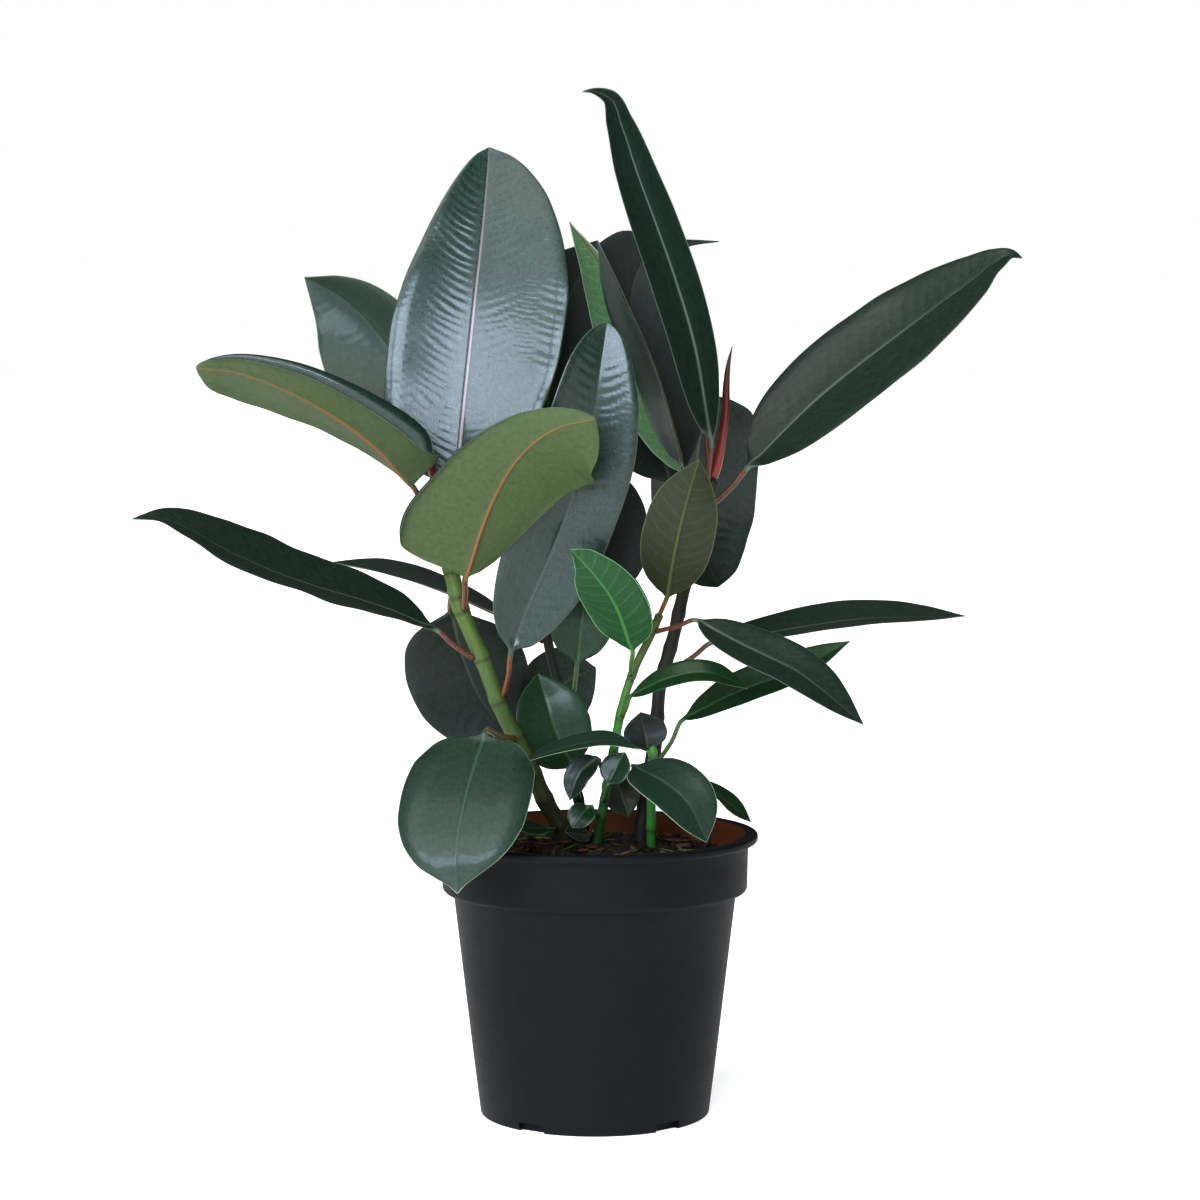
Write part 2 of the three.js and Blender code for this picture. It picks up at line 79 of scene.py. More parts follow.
def add_node(tree: bpy.types.NodeTree, kind: str, inputs: dict[Any, Any] | None = None,
             **settings: Any) -> bpy.types.Node:
    """Adds one shader node with its settings and links.

    Args:
        tree: the node tree that it goes in.
        kind: the node's type, without its ShaderNode prefix.
        inputs: values by input name or number. A node stands for its first output in use.
        settings: the node's own properties.

    Returns:
        The new node.
    """
    node = tree.nodes.new("ShaderNode" + kind)
    for key, value in settings.items():
        setattr(node, key, value)
    for key, value in (inputs or {}).items():
        named = [s for s in node.inputs if s.enabled and s.name == key]
        socket = named[0] if named else node.inputs[key]
        if isinstance(value, bpy.types.Node):
            value = next(s for s in value.outputs if s.enabled)
        if isinstance(value, bpy.types.NodeSocket):
            tree.links.new(value, socket)
        else:
            socket.default_value = value
    return node


def blank_material(name: str) -> tuple[bpy.types.Material, bpy.types.NodeTree]:
    """A material with an empty node tree.

    Args:
        name: the material's name.

    Returns:
        The material and its tree.
    """
    material = bpy.data.materials.new(name)
    material.use_nodes = True
    material.node_tree.nodes.clear()
    return material, material.node_tree


def surface(tree: bpy.types.NodeTree, inputs: dict[str, Any]) -> None:
    """Ends a material in one Principled shader.

    Args:
        tree: the material's tree.
        inputs: the shader's values and links by socket name.
    """
    shader = add_node(tree, "BsdfPrincipled", inputs)
    add_node(tree, "OutputMaterial", {"Surface": shader})


def mesh_piece(name: str, points: np.ndarray, faces: list[tuple[int, ...]],
               materials: list[bpy.types.Material], slots: np.ndarray | None = None,
               places: dict[str, np.ndarray] | None = None) -> bpy.types.Object:
    """A smooth mesh object in the scene.

    Args:
        name: the piece's name.
        points: its vertices in metres, one row each.
        faces: its faces as vertex numbers.
        materials: its materials in slot order.
        slots: each face's material slot, or None for the first.
        places: named vectors, one row for each vertex, that its material reads.

    Returns:
        The new object.
    """
    mesh = bpy.data.meshes.new(name)
    mesh.from_pydata(points.tolist(), [], faces)
    for material in materials:
        mesh.materials.append(material)
    if slots is not None:
        mesh.polygons.foreach_set("material_index", np.asarray(slots, dtype=np.int32))
    for key, rows in (places or {}).items():
        layer = mesh.attributes.new(key, "FLOAT_VECTOR", "POINT")
        layer.data.foreach_set("vector", np.asarray(rows, dtype=np.float32).ravel())
    mesh.polygons.foreach_set("use_smooth", [True] * len(mesh.polygons))
    tidy = bmesh.new()
    tidy.from_mesh(mesh)
    bmesh.ops.recalc_face_normals(tidy, faces=tidy.faces)
    tidy.to_mesh(mesh)
    tidy.free()
    mesh.update()
    piece = bpy.data.objects.new(name, mesh)
    bpy.context.scene.collection.objects.link(piece)
    return piece


def settle(piece: bpy.types.Object, slot: str, *nodes: str) -> None:
    """Ties a piece to the frame and logs it.

    Args:
        piece: the finished piece.
        slot: the record's material slot of the piece, which is only logged.
        nodes: the frame's nodes that it stands for.
    """
    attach(piece, BODY)
    if nodes:
        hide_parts(*nodes)
    LOG.info("%s: %d faces, slot %s", piece.name, len(piece.data.polygons), slot)


def unit(rows: np.ndarray) -> np.ndarray:
    """Each row at length one."""
    return rows / np.maximum(np.linalg.norm(rows, axis=-1, keepdims=True), 1e-12)


def square_to(along: np.ndarray, rows: np.ndarray) -> np.ndarray:
    """Each row made square to the direction in the same row of along, at length one."""
    return unit(rows - along * np.sum(rows * along, axis=-1, keepdims=True))


def smoothstep(value: np.ndarray, low: float, high: float) -> np.ndarray:
    """Nought below low, one above high, and an easy rise between them."""
    t = np.clip((value - low) / (high - low), 0, 1)
    return t * t * (3 - 2 * t)


def smooth_line(knots: np.ndarray, values: np.ndarray, at: np.ndarray) -> np.ndarray:
    """A smooth curve through points, which may swing a little past them.

    Args:
        knots: rising distances, one for each point.
        values: the points, one row each.
        at: the distances that are wanted.

    Returns:
        One row for each distance.
    """
    step = np.diff(knots)[:, None]
    slope = np.diff(values, axis=0) / step
    inner = (slope[:-1] * step[1:] + slope[1:] * step[:-1]) / (step[1:] + step[:-1])
    tangents = np.vstack([slope[:1], inner, slope[-1:]])
    return hermite(knots, values, tangents, at)


def steady_line(knots: np.ndarray, values: np.ndarray, at: np.ndarray) -> np.ndarray:
    """A smooth curve through numbers, which never swings past them.

    Args:
        knots: rising distances, one for each number.
        values: the numbers.
        at: the distances that are wanted.

    Returns:
        One number for each distance.
    """
    slope = np.diff(values) / np.diff(knots)
    product = slope[:-1] * slope[1:]
    inner = np.where(product > 0, 2 * product / (slope[:-1] + slope[1:] + 1e-30), 0.0)
    tangents = np.concatenate([[slope[0]], inner, [slope[-1]]])
    return hermite(knots, values[:, None], tangents[:, None], at)[:, 0]


def hermite(knots: np.ndarray, values: np.ndarray, tangents: np.ndarray, at: np.ndarray) -> np.ndarray:
    """Cubic pieces with given values and tangents at the knots.

    Args:
        knots: rising distances.
        values: one row for each knot.
        tangents: one row for each knot.
        at: the distances that are wanted.

    Returns:
        One row for each distance.
    """
    left = np.clip(np.searchsorted(knots, at, side="right") - 1, 0, len(knots) - 2)
    step = (knots[left + 1] - knots[left])[:, None]
    t = ((at - knots[left])[:, None]) / step
    return (
        (2 * t**3 - 3 * t**2 + 1) * values[left]
        + (t**3 - 2 * t**2 + t) * step * tangents[left]
        + (3 * t**2 - 2 * t**3) * values[left + 1]
        + (t**3 - t**2) * step * tangents[left + 1]
    )


def ripple(rng: np.random.Generator, at: np.ndarray, length: float) -> np.ndarray:
    """A slow uneven wave of height about one.

    Args:
        rng: where its phases come from.
        at: the distances along it.
        length: its main wavelength, in the same unit.

    Returns:
        One number for each distance.
    """
    phase = rng.uniform(0, 2 * math.pi, 3)
    turn = 2 * math.pi * at / length
    waves = (np.sin(turn + phase[0]) + 0.6 * np.sin(turn * 1.7 + phase[1])
             + 0.4 * np.sin(turn * 2.9 + phase[2]))
    return waves / 1.6


# ------------------------------------------------------------------ reading the frame


@dataclass
class Loft:
    """A lofted node of the frame, read back as its rings from one end to the other."""

    rings: list[np.ndarray]
    ends: tuple[np.ndarray, np.ndarray]

    @classmethod
    def read(cls, name: str) -> "Loft":
        """Reads a node that is rings of eight points between two end points.

        Args:
            name: the node's name.

        Returns:
            The loft, with its root end first: the end whose ring is the rounder.
        """
        mesh = frame["nodes"][name].data
        flat = np.empty(3 * len(mesh.vertices))
        mesh.vertices.foreach_get("co", flat)
        corners = flat.reshape(-1, 3)
        keys = np.round(corners / WELD).astype(np.int64)
        _, first, welded = np.unique(keys, axis=0, return_index=True, return_inverse=True)
        welded = welded.ravel()
        points = corners[first]
        near: list[set[int]] = [set() for _ in points]
        for edge in mesh.edges:
            a, b = (int(welded[v]) for v in edge.vertices)
            if a != b:
                near[a].add(b)
                near[b].add(a)
        poles = [i for i, others in enumerate(near) if len(others) == 8]
        level = {poles[0]: 0}
        queue = deque([poles[0]])
        while queue:
            here = queue.popleft()
            for other in near[here]:
                if other not in level:
                    level[other] = level[here] + 1
                    queue.append(other)
        rings = []
        for depth in range(1, level[poles[-1]]):
            ring = [i for i in level if level[i] == depth]
            walk = [ring[0]]
            while len(walk) < len(ring):
                walk.append(next(i for i in near[walk[-1]] if i in ring and i not in walk))
            rings.append(points[walk])
        ends = points[poles[0]], points[poles[-1]]
        loft = cls(rings, ends)
        if flatness(rings[0]) > flatness(rings[-1]) + 1e-3:
            loft = cls(rings[::-1], ends[::-1])
        return loft


def flatness(ring: np.ndarray) -> float:
    """How much wider a ring of eight points is one way than the other, one for a circle."""
    spans = np.linalg.norm(ring[:4] - ring[4:], axis=1)
    return float(spans.max() / spans.min())


# ------------------------------------------------------------------ finishes


@dataclass(frozen=True)
class LeafFinish:
    """A rubber plant leaf: a thick waxy blade, glossy above and dull below, on a smooth stalk.

    The wax gives the eye a soft window-like sheen that breaks up over the side veins.
    """

    name: str
    upper: str
    upper_light: str
    under: str
    under_light: str
    midrib: str
    under_midrib: str
    margin: str
    stalk: str
    gloss: float = 0.33
    coat: float = 0.35
    vein_show: float = 0.07

    def masks(self, tree: bpy.types.NodeTree) -> dict[str, bpy.types.Node | bpy.types.NodeSocket]:
        """Where the blade's lines lie, from the places that its mesh carries.

        Args:
            tree: the material's tree.

        Returns:
            The midrib, margin and vein masks, the distance along the blade, and the vein phase.
        """
        blade = add_node(tree, "Attribute", attribute_name="blade")
        blade_xyz = add_node(tree, "SeparateXYZ", {0: blade.outputs["Vector"]})
        ribs = add_node(tree, "Attribute", attribute_name="ribs")
        ribs_xyz = add_node(tree, "SeparateXYZ", {0: ribs.outputs["Vector"]})
        width = add_node(tree, "MapRange", {"Value": blade_xyz.outputs["X"], 1: 0.0, 2: 1.0, 3: 1.15,
                                            4: 0.45})
        across = add_node(tree, "Math", {0: ribs_xyz.outputs["X"], 1: width}, operation="DIVIDE")
        midrib = add_node(tree, "MapRange", {"Value": across, 1: 0.55, 2: 1.25, 3: 1.0, 4: 0.0},
                          interpolation_type="SMOOTHSTEP")
        margin = add_node(tree, "MapRange", {"Value": ribs_xyz.outputs["Y"], 1: 0.15, 2: 0.75, 3: 1.0,
                                             4: 0.0},
                          interpolation_type="SMOOTHSTEP")
        swirl = add_node(tree, "TexNoise", {"Scale": 90.0, "Detail": 2.0})
        sway = add_node(tree, "Math", {0: swirl.outputs[0], 1: 0.16, 2: blade_xyz.outputs["Z"]},
                        operation="MULTIPLY_ADD")
        phase = add_node(tree, "Math", {0: sway}, operation="FRACT")
        centred = add_node(tree, "Math", {0: phase, 1: 0.5}, operation="SUBTRACT")
        off_vein = add_node(tree, "Math", {0: centred}, operation="ABSOLUTE")
        vein = add_node(tree, "MapRange", {"Value": off_vein, 1: 0.36, 2: 0.5, 3: 0.0, 4: 1.0},
                        interpolation_type="SMOOTHSTEP")
        return {"midrib": midrib, "margin": margin, "vein": vein, "along": blade_xyz.outputs["X"],
                "off_vein": off_vein}

    def upper_material(self) -> bpy.types.Material:
        """The glossy upper side: deep green with a pale midrib, faint side veins and dust specks."""
        material, tree = blank_material(self.name + "_upper")
        mask = self.masks(tree)
        # cloudy patches about 30 mm across, as pigment gathers between the veins
        cloud = add_node(tree, "TexNoise", {"Scale": 32.0, "Detail": 4.0, "Roughness": 0.6})
        cloud_mask = add_node(tree, "MapRange", {"Value": cloud.outputs[0], 1: 0.35, 2: 0.68})
        blade = add_node(tree, "Mix", {"Factor": cloud_mask, "A": linear(self.upper),
                                       "B": linear(self.upper_light)},
                         data_type="RGBA")
        vein_share = add_node(tree, "Math", {0: mask["vein"], 1: self.vein_show}, operation="MULTIPLY")
        veined = add_node(tree, "Mix", {"Factor": vein_share, "A": blade, "B": linear(self.under_light)},
                          data_type="RGBA")
        rib_fade = add_node(tree, "MapRange", {"Value": mask["along"], 1: 0.3, 2: 1.0, 3: 1.0, 4: 0.15})
        rib_share = add_node(tree, "Math", {0: mask["midrib"], 1: rib_fade}, operation="MULTIPLY")
        ribbed = add_node(tree, "Mix", {"Factor": rib_share, "A": veined, "B": linear(self.midrib)},
                          data_type="RGBA")
        edged = add_node(tree, "Mix", {"Factor": mask["margin"], "A": ribbed, "B": linear(self.margin)},
                         data_type="RGBA")
        # dried water spots and dust, under 1 mm, in loose groups
        speck = add_node(tree, "TexVoronoi", {"Scale": 260.0, "Randomness": 1.0})
        speck_group = add_node(tree, "TexNoise", {"Scale": 45.0, "Detail": 1.0})
        group = add_node(tree, "MapRange", {"Value": speck_group.outputs[0], 1: 0.5, 2: 0.72, 3: 0.0,
                                            4: 0.17})
        speck_mask = add_node(tree, "Math", {0: speck.outputs["Distance"], 1: group}, operation="LESS_THAN")
        speck_share = add_node(tree, "Math", {0: speck_mask, 1: 0.35}, operation="MULTIPLY")
        dusted = add_node(tree, "Mix", {"Factor": speck_share, "A": edged, "B": linear("b9c4b8")},
                          data_type="RGBA")
        film = add_node(tree, "TexNoise", {"Scale": 70.0, "Detail": 3.0})
        rough = add_node(tree, "MapRange", {"Value": film.outputs[0], 1: 0.3, 2: 0.75,
                                            3: self.gloss - 0.05, 4: self.gloss + 0.14})
        # the leaf's cells, drawn at 0.9 mm so that they still break up the sheen
        cells = add_node(tree, "TexVoronoi", {"Scale": 1100.0})
        relief = add_node(tree, "Math", {0: mask["off_vein"], 1: 0.6, 2: cells.outputs["Distance"]},
                          operation="MULTIPLY_ADD")
        bump = add_node(tree, "Bump", {"Strength": 0.12, "Distance": 0.3 * MM, "Height": relief})
        surface(tree, {"Base Color": dusted, "Roughness": rough, "Normal": bump, "IOR": 1.45,
                       "Coat Weight": self.coat, "Coat Roughness": 0.14, "Coat IOR": 1.45})
        return material

    def under_material(self) -> bpy.types.Material:
        """The dull underside: paler green with a raised warm midrib and a net of fine veins."""
        material, tree = blank_material(self.name + "_under")
        mask = self.masks(tree)
        cloud = add_node(tree, "TexNoise", {"Scale": 38.0, "Detail": 5.0, "Roughness": 0.62})
        cloud_mask = add_node(tree, "MapRange", {"Value": cloud.outputs[0], 1: 0.33, 2: 0.68})
        blade = add_node(tree, "Mix", {"Factor": cloud_mask, "A": linear(self.under),
                                       "B": linear(self.under_light)},
                         data_type="RGBA")
        vein_share = add_node(tree, "Math", {0: mask["vein"], 1: 1.4 * self.vein_show}, operation="MULTIPLY")
        veined = add_node(tree, "Mix", {"Factor": vein_share, "A": blade, "B": linear(self.margin)},
                          data_type="RGBA")
        rib_fade = add_node(tree, "MapRange", {"Value": mask["along"], 1: 0.0, 2: 0.9, 3: 1.0, 4: 0.55})
        rib_share = add_node(tree, "Math", {0: mask["midrib"], 1: rib_fade}, operation="MULTIPLY")
        ribbed = add_node(tree, "Mix", {"Factor": rib_share, "A": veined, "B": linear(self.under_midrib)},
                          data_type="RGBA")
        edged = add_node(tree, "Mix", {"Factor": mask["margin"], "A": ribbed, "B": linear(self.margin)},
                         data_type="RGBA")
        # the net of small veins, about 1.5 mm a mesh
        net = add_node(tree, "TexVoronoi", {"Scale": 650.0}, feature="DISTANCE_TO_EDGE")
        net_line = add_node(tree, "MapRange", {"Value": net.outputs["Distance"], 1: 0.0, 2: 0.12, 3: 1.0,
                                               4: 0.0})
        relief = add_node(tree, "Math", {0: mask["vein"], 1: 1.4, 2: net_line}, operation="MULTIPLY_ADD")
        bump = add_node(tree, "Bump", {"Strength": 0.25, "Distance": 0.2 * MM, "Height": relief})
        surface(tree, {"Base Color": edged, "Roughness": 0.55, "Normal": bump, "IOR": 1.42})
        return material

    def stalk_material(self) -> bpy.types.Material:
        """The leaf stalk: smooth and fleshy, reddened by the sun in streaks."""
        material, tree = blank_material(self.name + "_stalk")
        streak = add_node(tree, "TexNoise", {"Scale": 160.0, "Detail": 3.0})
        mask = add_node(tree, "MapRange", {"Value": streak.outputs[0], 1: 0.35, 2: 0.7})
        colour = add_node(tree, "Mix", {"Factor": mask, "A": linear(self.stalk),
                                        "B": linear(self.under_midrib)},
                          data_type="RGBA")
        bump = add_node(tree, "Bump", {"Strength": 0.2, "Distance": 0.2 * MM, "Height": streak.outputs[0]})
        surface(tree, {"Base Color": colour, "Roughness": 0.4, "Normal": bump, "IOR": 1.45,
                       "Coat Weight": 0.2, "Coat Roughness": 0.25})
        return material

    def materials(self) -> list[bpy.types.Material]:
        """The upper side, the underside and the stalk, in the order of a leaf's slots."""
        return [self.upper_material(), self.under_material(), self.stalk_material()]


class Tone(Enum):
    """The leaf colours on the plant, from old and dark to young and bright. One dark tone is partly painted
    shade: a darker, duller copy for leaves that sit deep in the plant.
    """

    GLOSS = LeafFinish("waxed_leaf", "12281e", "1a3a2c", "3a4a28", "4f5c38", "a38c90", "7a4428", "56644c",
                       "4a2018", gloss=0.27, coat=0.6)
    NIGHT = LeafFinish("night_leaf", "12261c", "19352a", "42512d", "4e5c37", "2e3c34", "8a5a34", "4f5d48",
                       "4a2018",
                       gloss=0.28, coat=0.55)
    SLATE = LeafFinish("slate_leaf", "16261d", "213629", "36452b", "4b5a3c", "535c50", "7d5236", "5c6a5c",
                       "46221a",
                       gloss=0.36, coat=0.18)
    # partly the leaves' own deep green and partly painted shade: darker and duller for leaves deep in the
    # plant
    DARK_AND_PAINTED_SHADE = LeafFinish("dark_and_painted_shade_leaf", "0e1a13", "16271b", "26331c", "33402a", "38402a", "6d5a30", "36422f",
                       "4d2c22",
                       gloss=0.45, coat=0.05)
    MOSS = LeafFinish("moss_leaf", "1a3024", "243d2d", "3a5028", "4c6036", "35503a", "8f7a4a", "9aa88a",
                      "5d4a30",
                      gloss=0.42, coat=0.2, vein_show=0.05)
    OLIVE = LeafFinish("olive_leaf", "14220d", "282b12", "1b290d", "2f3014", "3c4c22", "4c5828", "5c6a3c",
                       "8b4030",
                       gloss=0.36, coat=0.3)
    BRIGHT = LeafFinish("bright_leaf", "0d2e16", "133d1c", "17431f", "225026", "28552a", "447a3a", "6fa070",
                        "4f6a34", gloss=0.34, coat=0.3)
    DEEP = LeafFinish("deep_green_leaf", "0c2a10", "124018", "1e4a1c", "2c5a28", "2c5226", "5c6b30", "2f5a34",
                      "35502a", gloss=0.4, coat=0.25)
    PALE = LeafFinish("pale_backed_leaf", "1c3028", "263c32", "4d7548", "6a8f62", "6d7a60", "7d2a26",
                      "b9c8ae",
                      "7a302a")
    GREY = LeafFinish("grey_leaf", "323f38", "4a574c", "4a5a40", "5d6b50", "6d7a66", "7d6a44", "7f8c78",
                      "5d4434",
                      gloss=0.5, coat=0.1)


@dataclass(frozen=True)
class StemFinish:
    """Young fig bark: smooth green skin that browns with age and is ringed by old leaf scars.

    The eye sees a gradient along the stem, thin dark rings and short corky dashes.
    """

    name: str
    low: str
    middle: str
    high: str
    roughness: float = 0.5

    def material(self) -> bpy.types.Material:
        """The bark, from the ground end to the growing tip."""
        material, tree = blank_material(self.name)
        place = add_node(tree, "Attribute", attribute_name="bark")
        xyz = add_node(tree, "SeparateXYZ", {0: place.outputs["Vector"]})
        lower = add_node(tree, "MapRange", {"Value": xyz.outputs["X"], 1: 0.15, 2: 0.5})
        upper = add_node(tree, "MapRange", {"Value": xyz.outputs["X"], 1: 0.5, 2: 0.85})
        first = add_node(tree, "Mix", {"Factor": lower, "A": linear(self.low), "B": linear(self.middle)},
                         data_type="RGBA")
        skin = add_node(tree, "Mix", {"Factor": upper, "A": first, "B": linear(self.high)}, data_type="RGBA")
        blotch = add_node(tree, "TexNoise", {"Scale": 120.0, "Detail": 4.0})
        patch = add_node(tree, "MapRange", {"Value": blotch.outputs[0], 1: 0.4, 2: 0.75, 3: 0.0, 4: 0.55})
        mottled = add_node(tree, "Mix", {"Factor": patch, "A": skin, "B": linear(self.low)}, data_type="RGBA")
        ringed = add_node(tree, "Mix", {"Factor": xyz.outputs["Y"], "A": mottled, "B": linear("2a2417")},
                          data_type="RGBA")
        # corky dashes about 1 mm long
        cork = add_node(tree, "TexVoronoi", {"Scale": 420.0})
        dash = add_node(tree, "MapRange", {"Value": cork.outputs["Distance"], 1: 0.06, 2: 0.16, 3: 0.35,
                                           4: 0.0})
        corked = add_node(tree, "Mix", {"Factor": dash, "A": ringed, "B": linear("8a8258")}, data_type="RGBA")
        relief = add_node(tree, "Math", {0: blotch.outputs[0], 1: dash}, operation="ADD")
        bump = add_node(tree, "Bump", {"Strength": 0.35, "Distance": 0.3 * MM, "Height": relief})
        surface(tree, {"Base Color": corked, "Roughness": self.roughness, "Normal": bump, "IOR": 1.45})
        return material


@dataclass(frozen=True)
class SheathFinish:
    """The rolled sheath round a new leaf: thin, waxy and wine red, with lengthwise nerves."""

    name: str = "wine_red_sheath"

    def material(self) -> bpy.types.Material:
        """The sheath, darker towards its tip."""
        material, tree = blank_material(self.name)
        place = add_node(tree, "Attribute", attribute_name="bark")
        xyz = add_node(tree, "SeparateXYZ", {0: place.outputs["Vector"]})
        rise = add_node(tree, "MapRange", {"Value": xyz.outputs["X"], 1: 0.05, 2: 0.95})
        red = add_node(tree, "Mix", {"Factor": rise, "A": linear("8a2a22"), "B": linear("3d1416")},
                       data_type="RGBA")
        nerve = add_node(tree, "Math", {0: xyz.outputs["Z"], 1: 7.0}, operation="MULTIPLY")
        wave = add_node(tree, "Math", {0: nerve}, operation="SINE")
        streak = add_node(tree, "TexNoise", {"Scale": 240.0, "Detail": 2.0})
        share = add_node(tree, "MapRange", {"Value": streak.outputs[0], 1: 0.4, 2: 0.7, 3: 0.0, 4: 0.5})
        colour = add_node(tree, "Mix", {"Factor": share, "A": red, "B": linear("5c1a18")}, data_type="RGBA")
        bump = add_node(tree, "Bump", {"Strength": 0.25, "Distance": 0.2 * MM, "Height": wave})
        surface(tree, {"Base Color": colour, "Roughness": 0.35, "Normal": bump, "IOR": 1.45,
                       "Coat Weight": 0.3, "Coat Roughness": 0.2})
        return material


@dataclass(frozen=True)
class MouldedPlastic:
    """Recycled polypropylene, injection moulded: an even dull skin with a fine stipple and scuffs."""

    name: str
    colour: str
    scuff: str
    roughness: float

    def material(self) -> bpy.types.Material:
        """The moulded skin, with flow clouds, mould stipple and light scratches."""
        material, tree = blank_material(self.name)
        cloud = add_node(tree, "TexNoise", {"Scale": 14.0, "Detail": 5.0, "Roughness": 0.65})
        cloud_mask = add_node(tree, "MapRange", {"Value": cloud.outputs[0], 1: 0.35, 2: 0.7, 3: 0.0, 4: 0.55})
        body = add_node(tree, "Mix", {"Factor": cloud_mask, "A": linear(self.colour),
                                      "B": linear(self.scuff)},
                        data_type="RGBA")
        # dust grains under 0.5 mm
        grain = add_node(tree, "TexVoronoi", {"Scale": 520.0})
        dust = add_node(tree, "MapRange", {"Value": grain.outputs["Distance"], 1: 0.05, 2: 0.13, 3: 0.4,
                                           4: 0.0})
        dust_group = add_node(tree, "TexNoise", {"Scale": 30.0, "Detail": 2.0})
        grouped = add_node(tree, "MapRange", {"Value": dust_group.outputs[0], 1: 0.5, 2: 0.75})
        dust_share = add_node(tree, "Math", {0: dust, 1: grouped}, operation="MULTIPLY")
        dusted = add_node(tree, "Mix", {"Factor": dust_share, "A": body, "B": linear("8b8d8c")},
                          data_type="RGBA")
        # fine scratches running round the wall
        where = add_node(tree, "TexCoord")
        squash = add_node(tree, "Mapping", {"Vector": where.outputs["Object"], "Scale": (40.0, 40.0, 900.0)})
        scratch = add_node(tree, "TexNoise", {"Vector": squash, "Scale": 1.0, "Detail": 2.0})
        # mould stipple, about 0.6 mm
        stipple = add_node(tree, "TexNoise", {"Scale": 1500.0, "Detail": 2.0})
        relief = add_node(tree, "Math", {0: scratch.outputs[0], 1: 0.1, 2: stipple.outputs[0]},
                          operation="MULTIPLY_ADD")
        bump = add_node(tree, "Bump", {"Strength": 0.3, "Distance": 0.15 * MM, "Height": relief})
        rough = add_node(tree, "MapRange", {"Value": scratch.outputs[0], 1: 0.3, 2: 0.7,
                                            3: self.roughness - 0.02, 4: self.roughness + 0.03})
        surface(tree, {"Base Color": dusted, "Roughness": rough, "Normal": bump, "IOR": 1.49,
                       "Specular IOR Level": 0.16})
        return material


@dataclass(frozen=True)
class LooseFinish:
    """Loose plant matter, such as peat, bark or a dead leaf: dull, fibrous and uneven in colour."""

    name: str
    dark: str
    light: str
    grain_mm: float
    roughness: float = 0.9

    def material(self) -> bpy.types.Material:
        """Two colours mixed by a grain of the given size, with matching relief."""
        material, tree = blank_material(self.name)
        grain = add_node(tree, "TexNoise", {"Scale": 1 / (self.grain_mm * MM), "Detail": 6.0,
                                            "Roughness": 0.7})
        mask = add_node(tree, "MapRange", {"Value": grain.outputs[0], 1: 0.36, 2: 0.66})
        colour = add_node(tree, "Mix", {"Factor": mask, "A": linear(self.dark), "B": linear(self.light)},
                          data_type="RGBA")
        bump = add_node(tree, "Bump", {"Strength": 0.7, "Distance": 0.6 * MM, "Height": grain.outputs[0]})
        surface(tree, {"Base Color": colour, "Roughness": self.roughness, "Normal": bump, "IOR": 1.4})
        return material


# ------------------------------------------------------------------ the leaves


@dataclass(frozen=True)
class LeafStyle:
    """What one leaf shows beyond its place in the frame.

    Rolls turn the outer part of a side down over the underside, in degrees. Relief is how deep
    the side veins are pressed in, in millimetres, and wave is how far the margin wanders. A roll
    starts at the roll_from share of the half width.
    """

    tone: Tone = Tone.SLATE
    relief: float = 0.12
    vein_gap: float = 7.0
    wave: float = 1.0
    roll_left: float = 12.0
    roll_right: float = 12.0
    roll_from: float = 0.8
    cup: float = 1.35


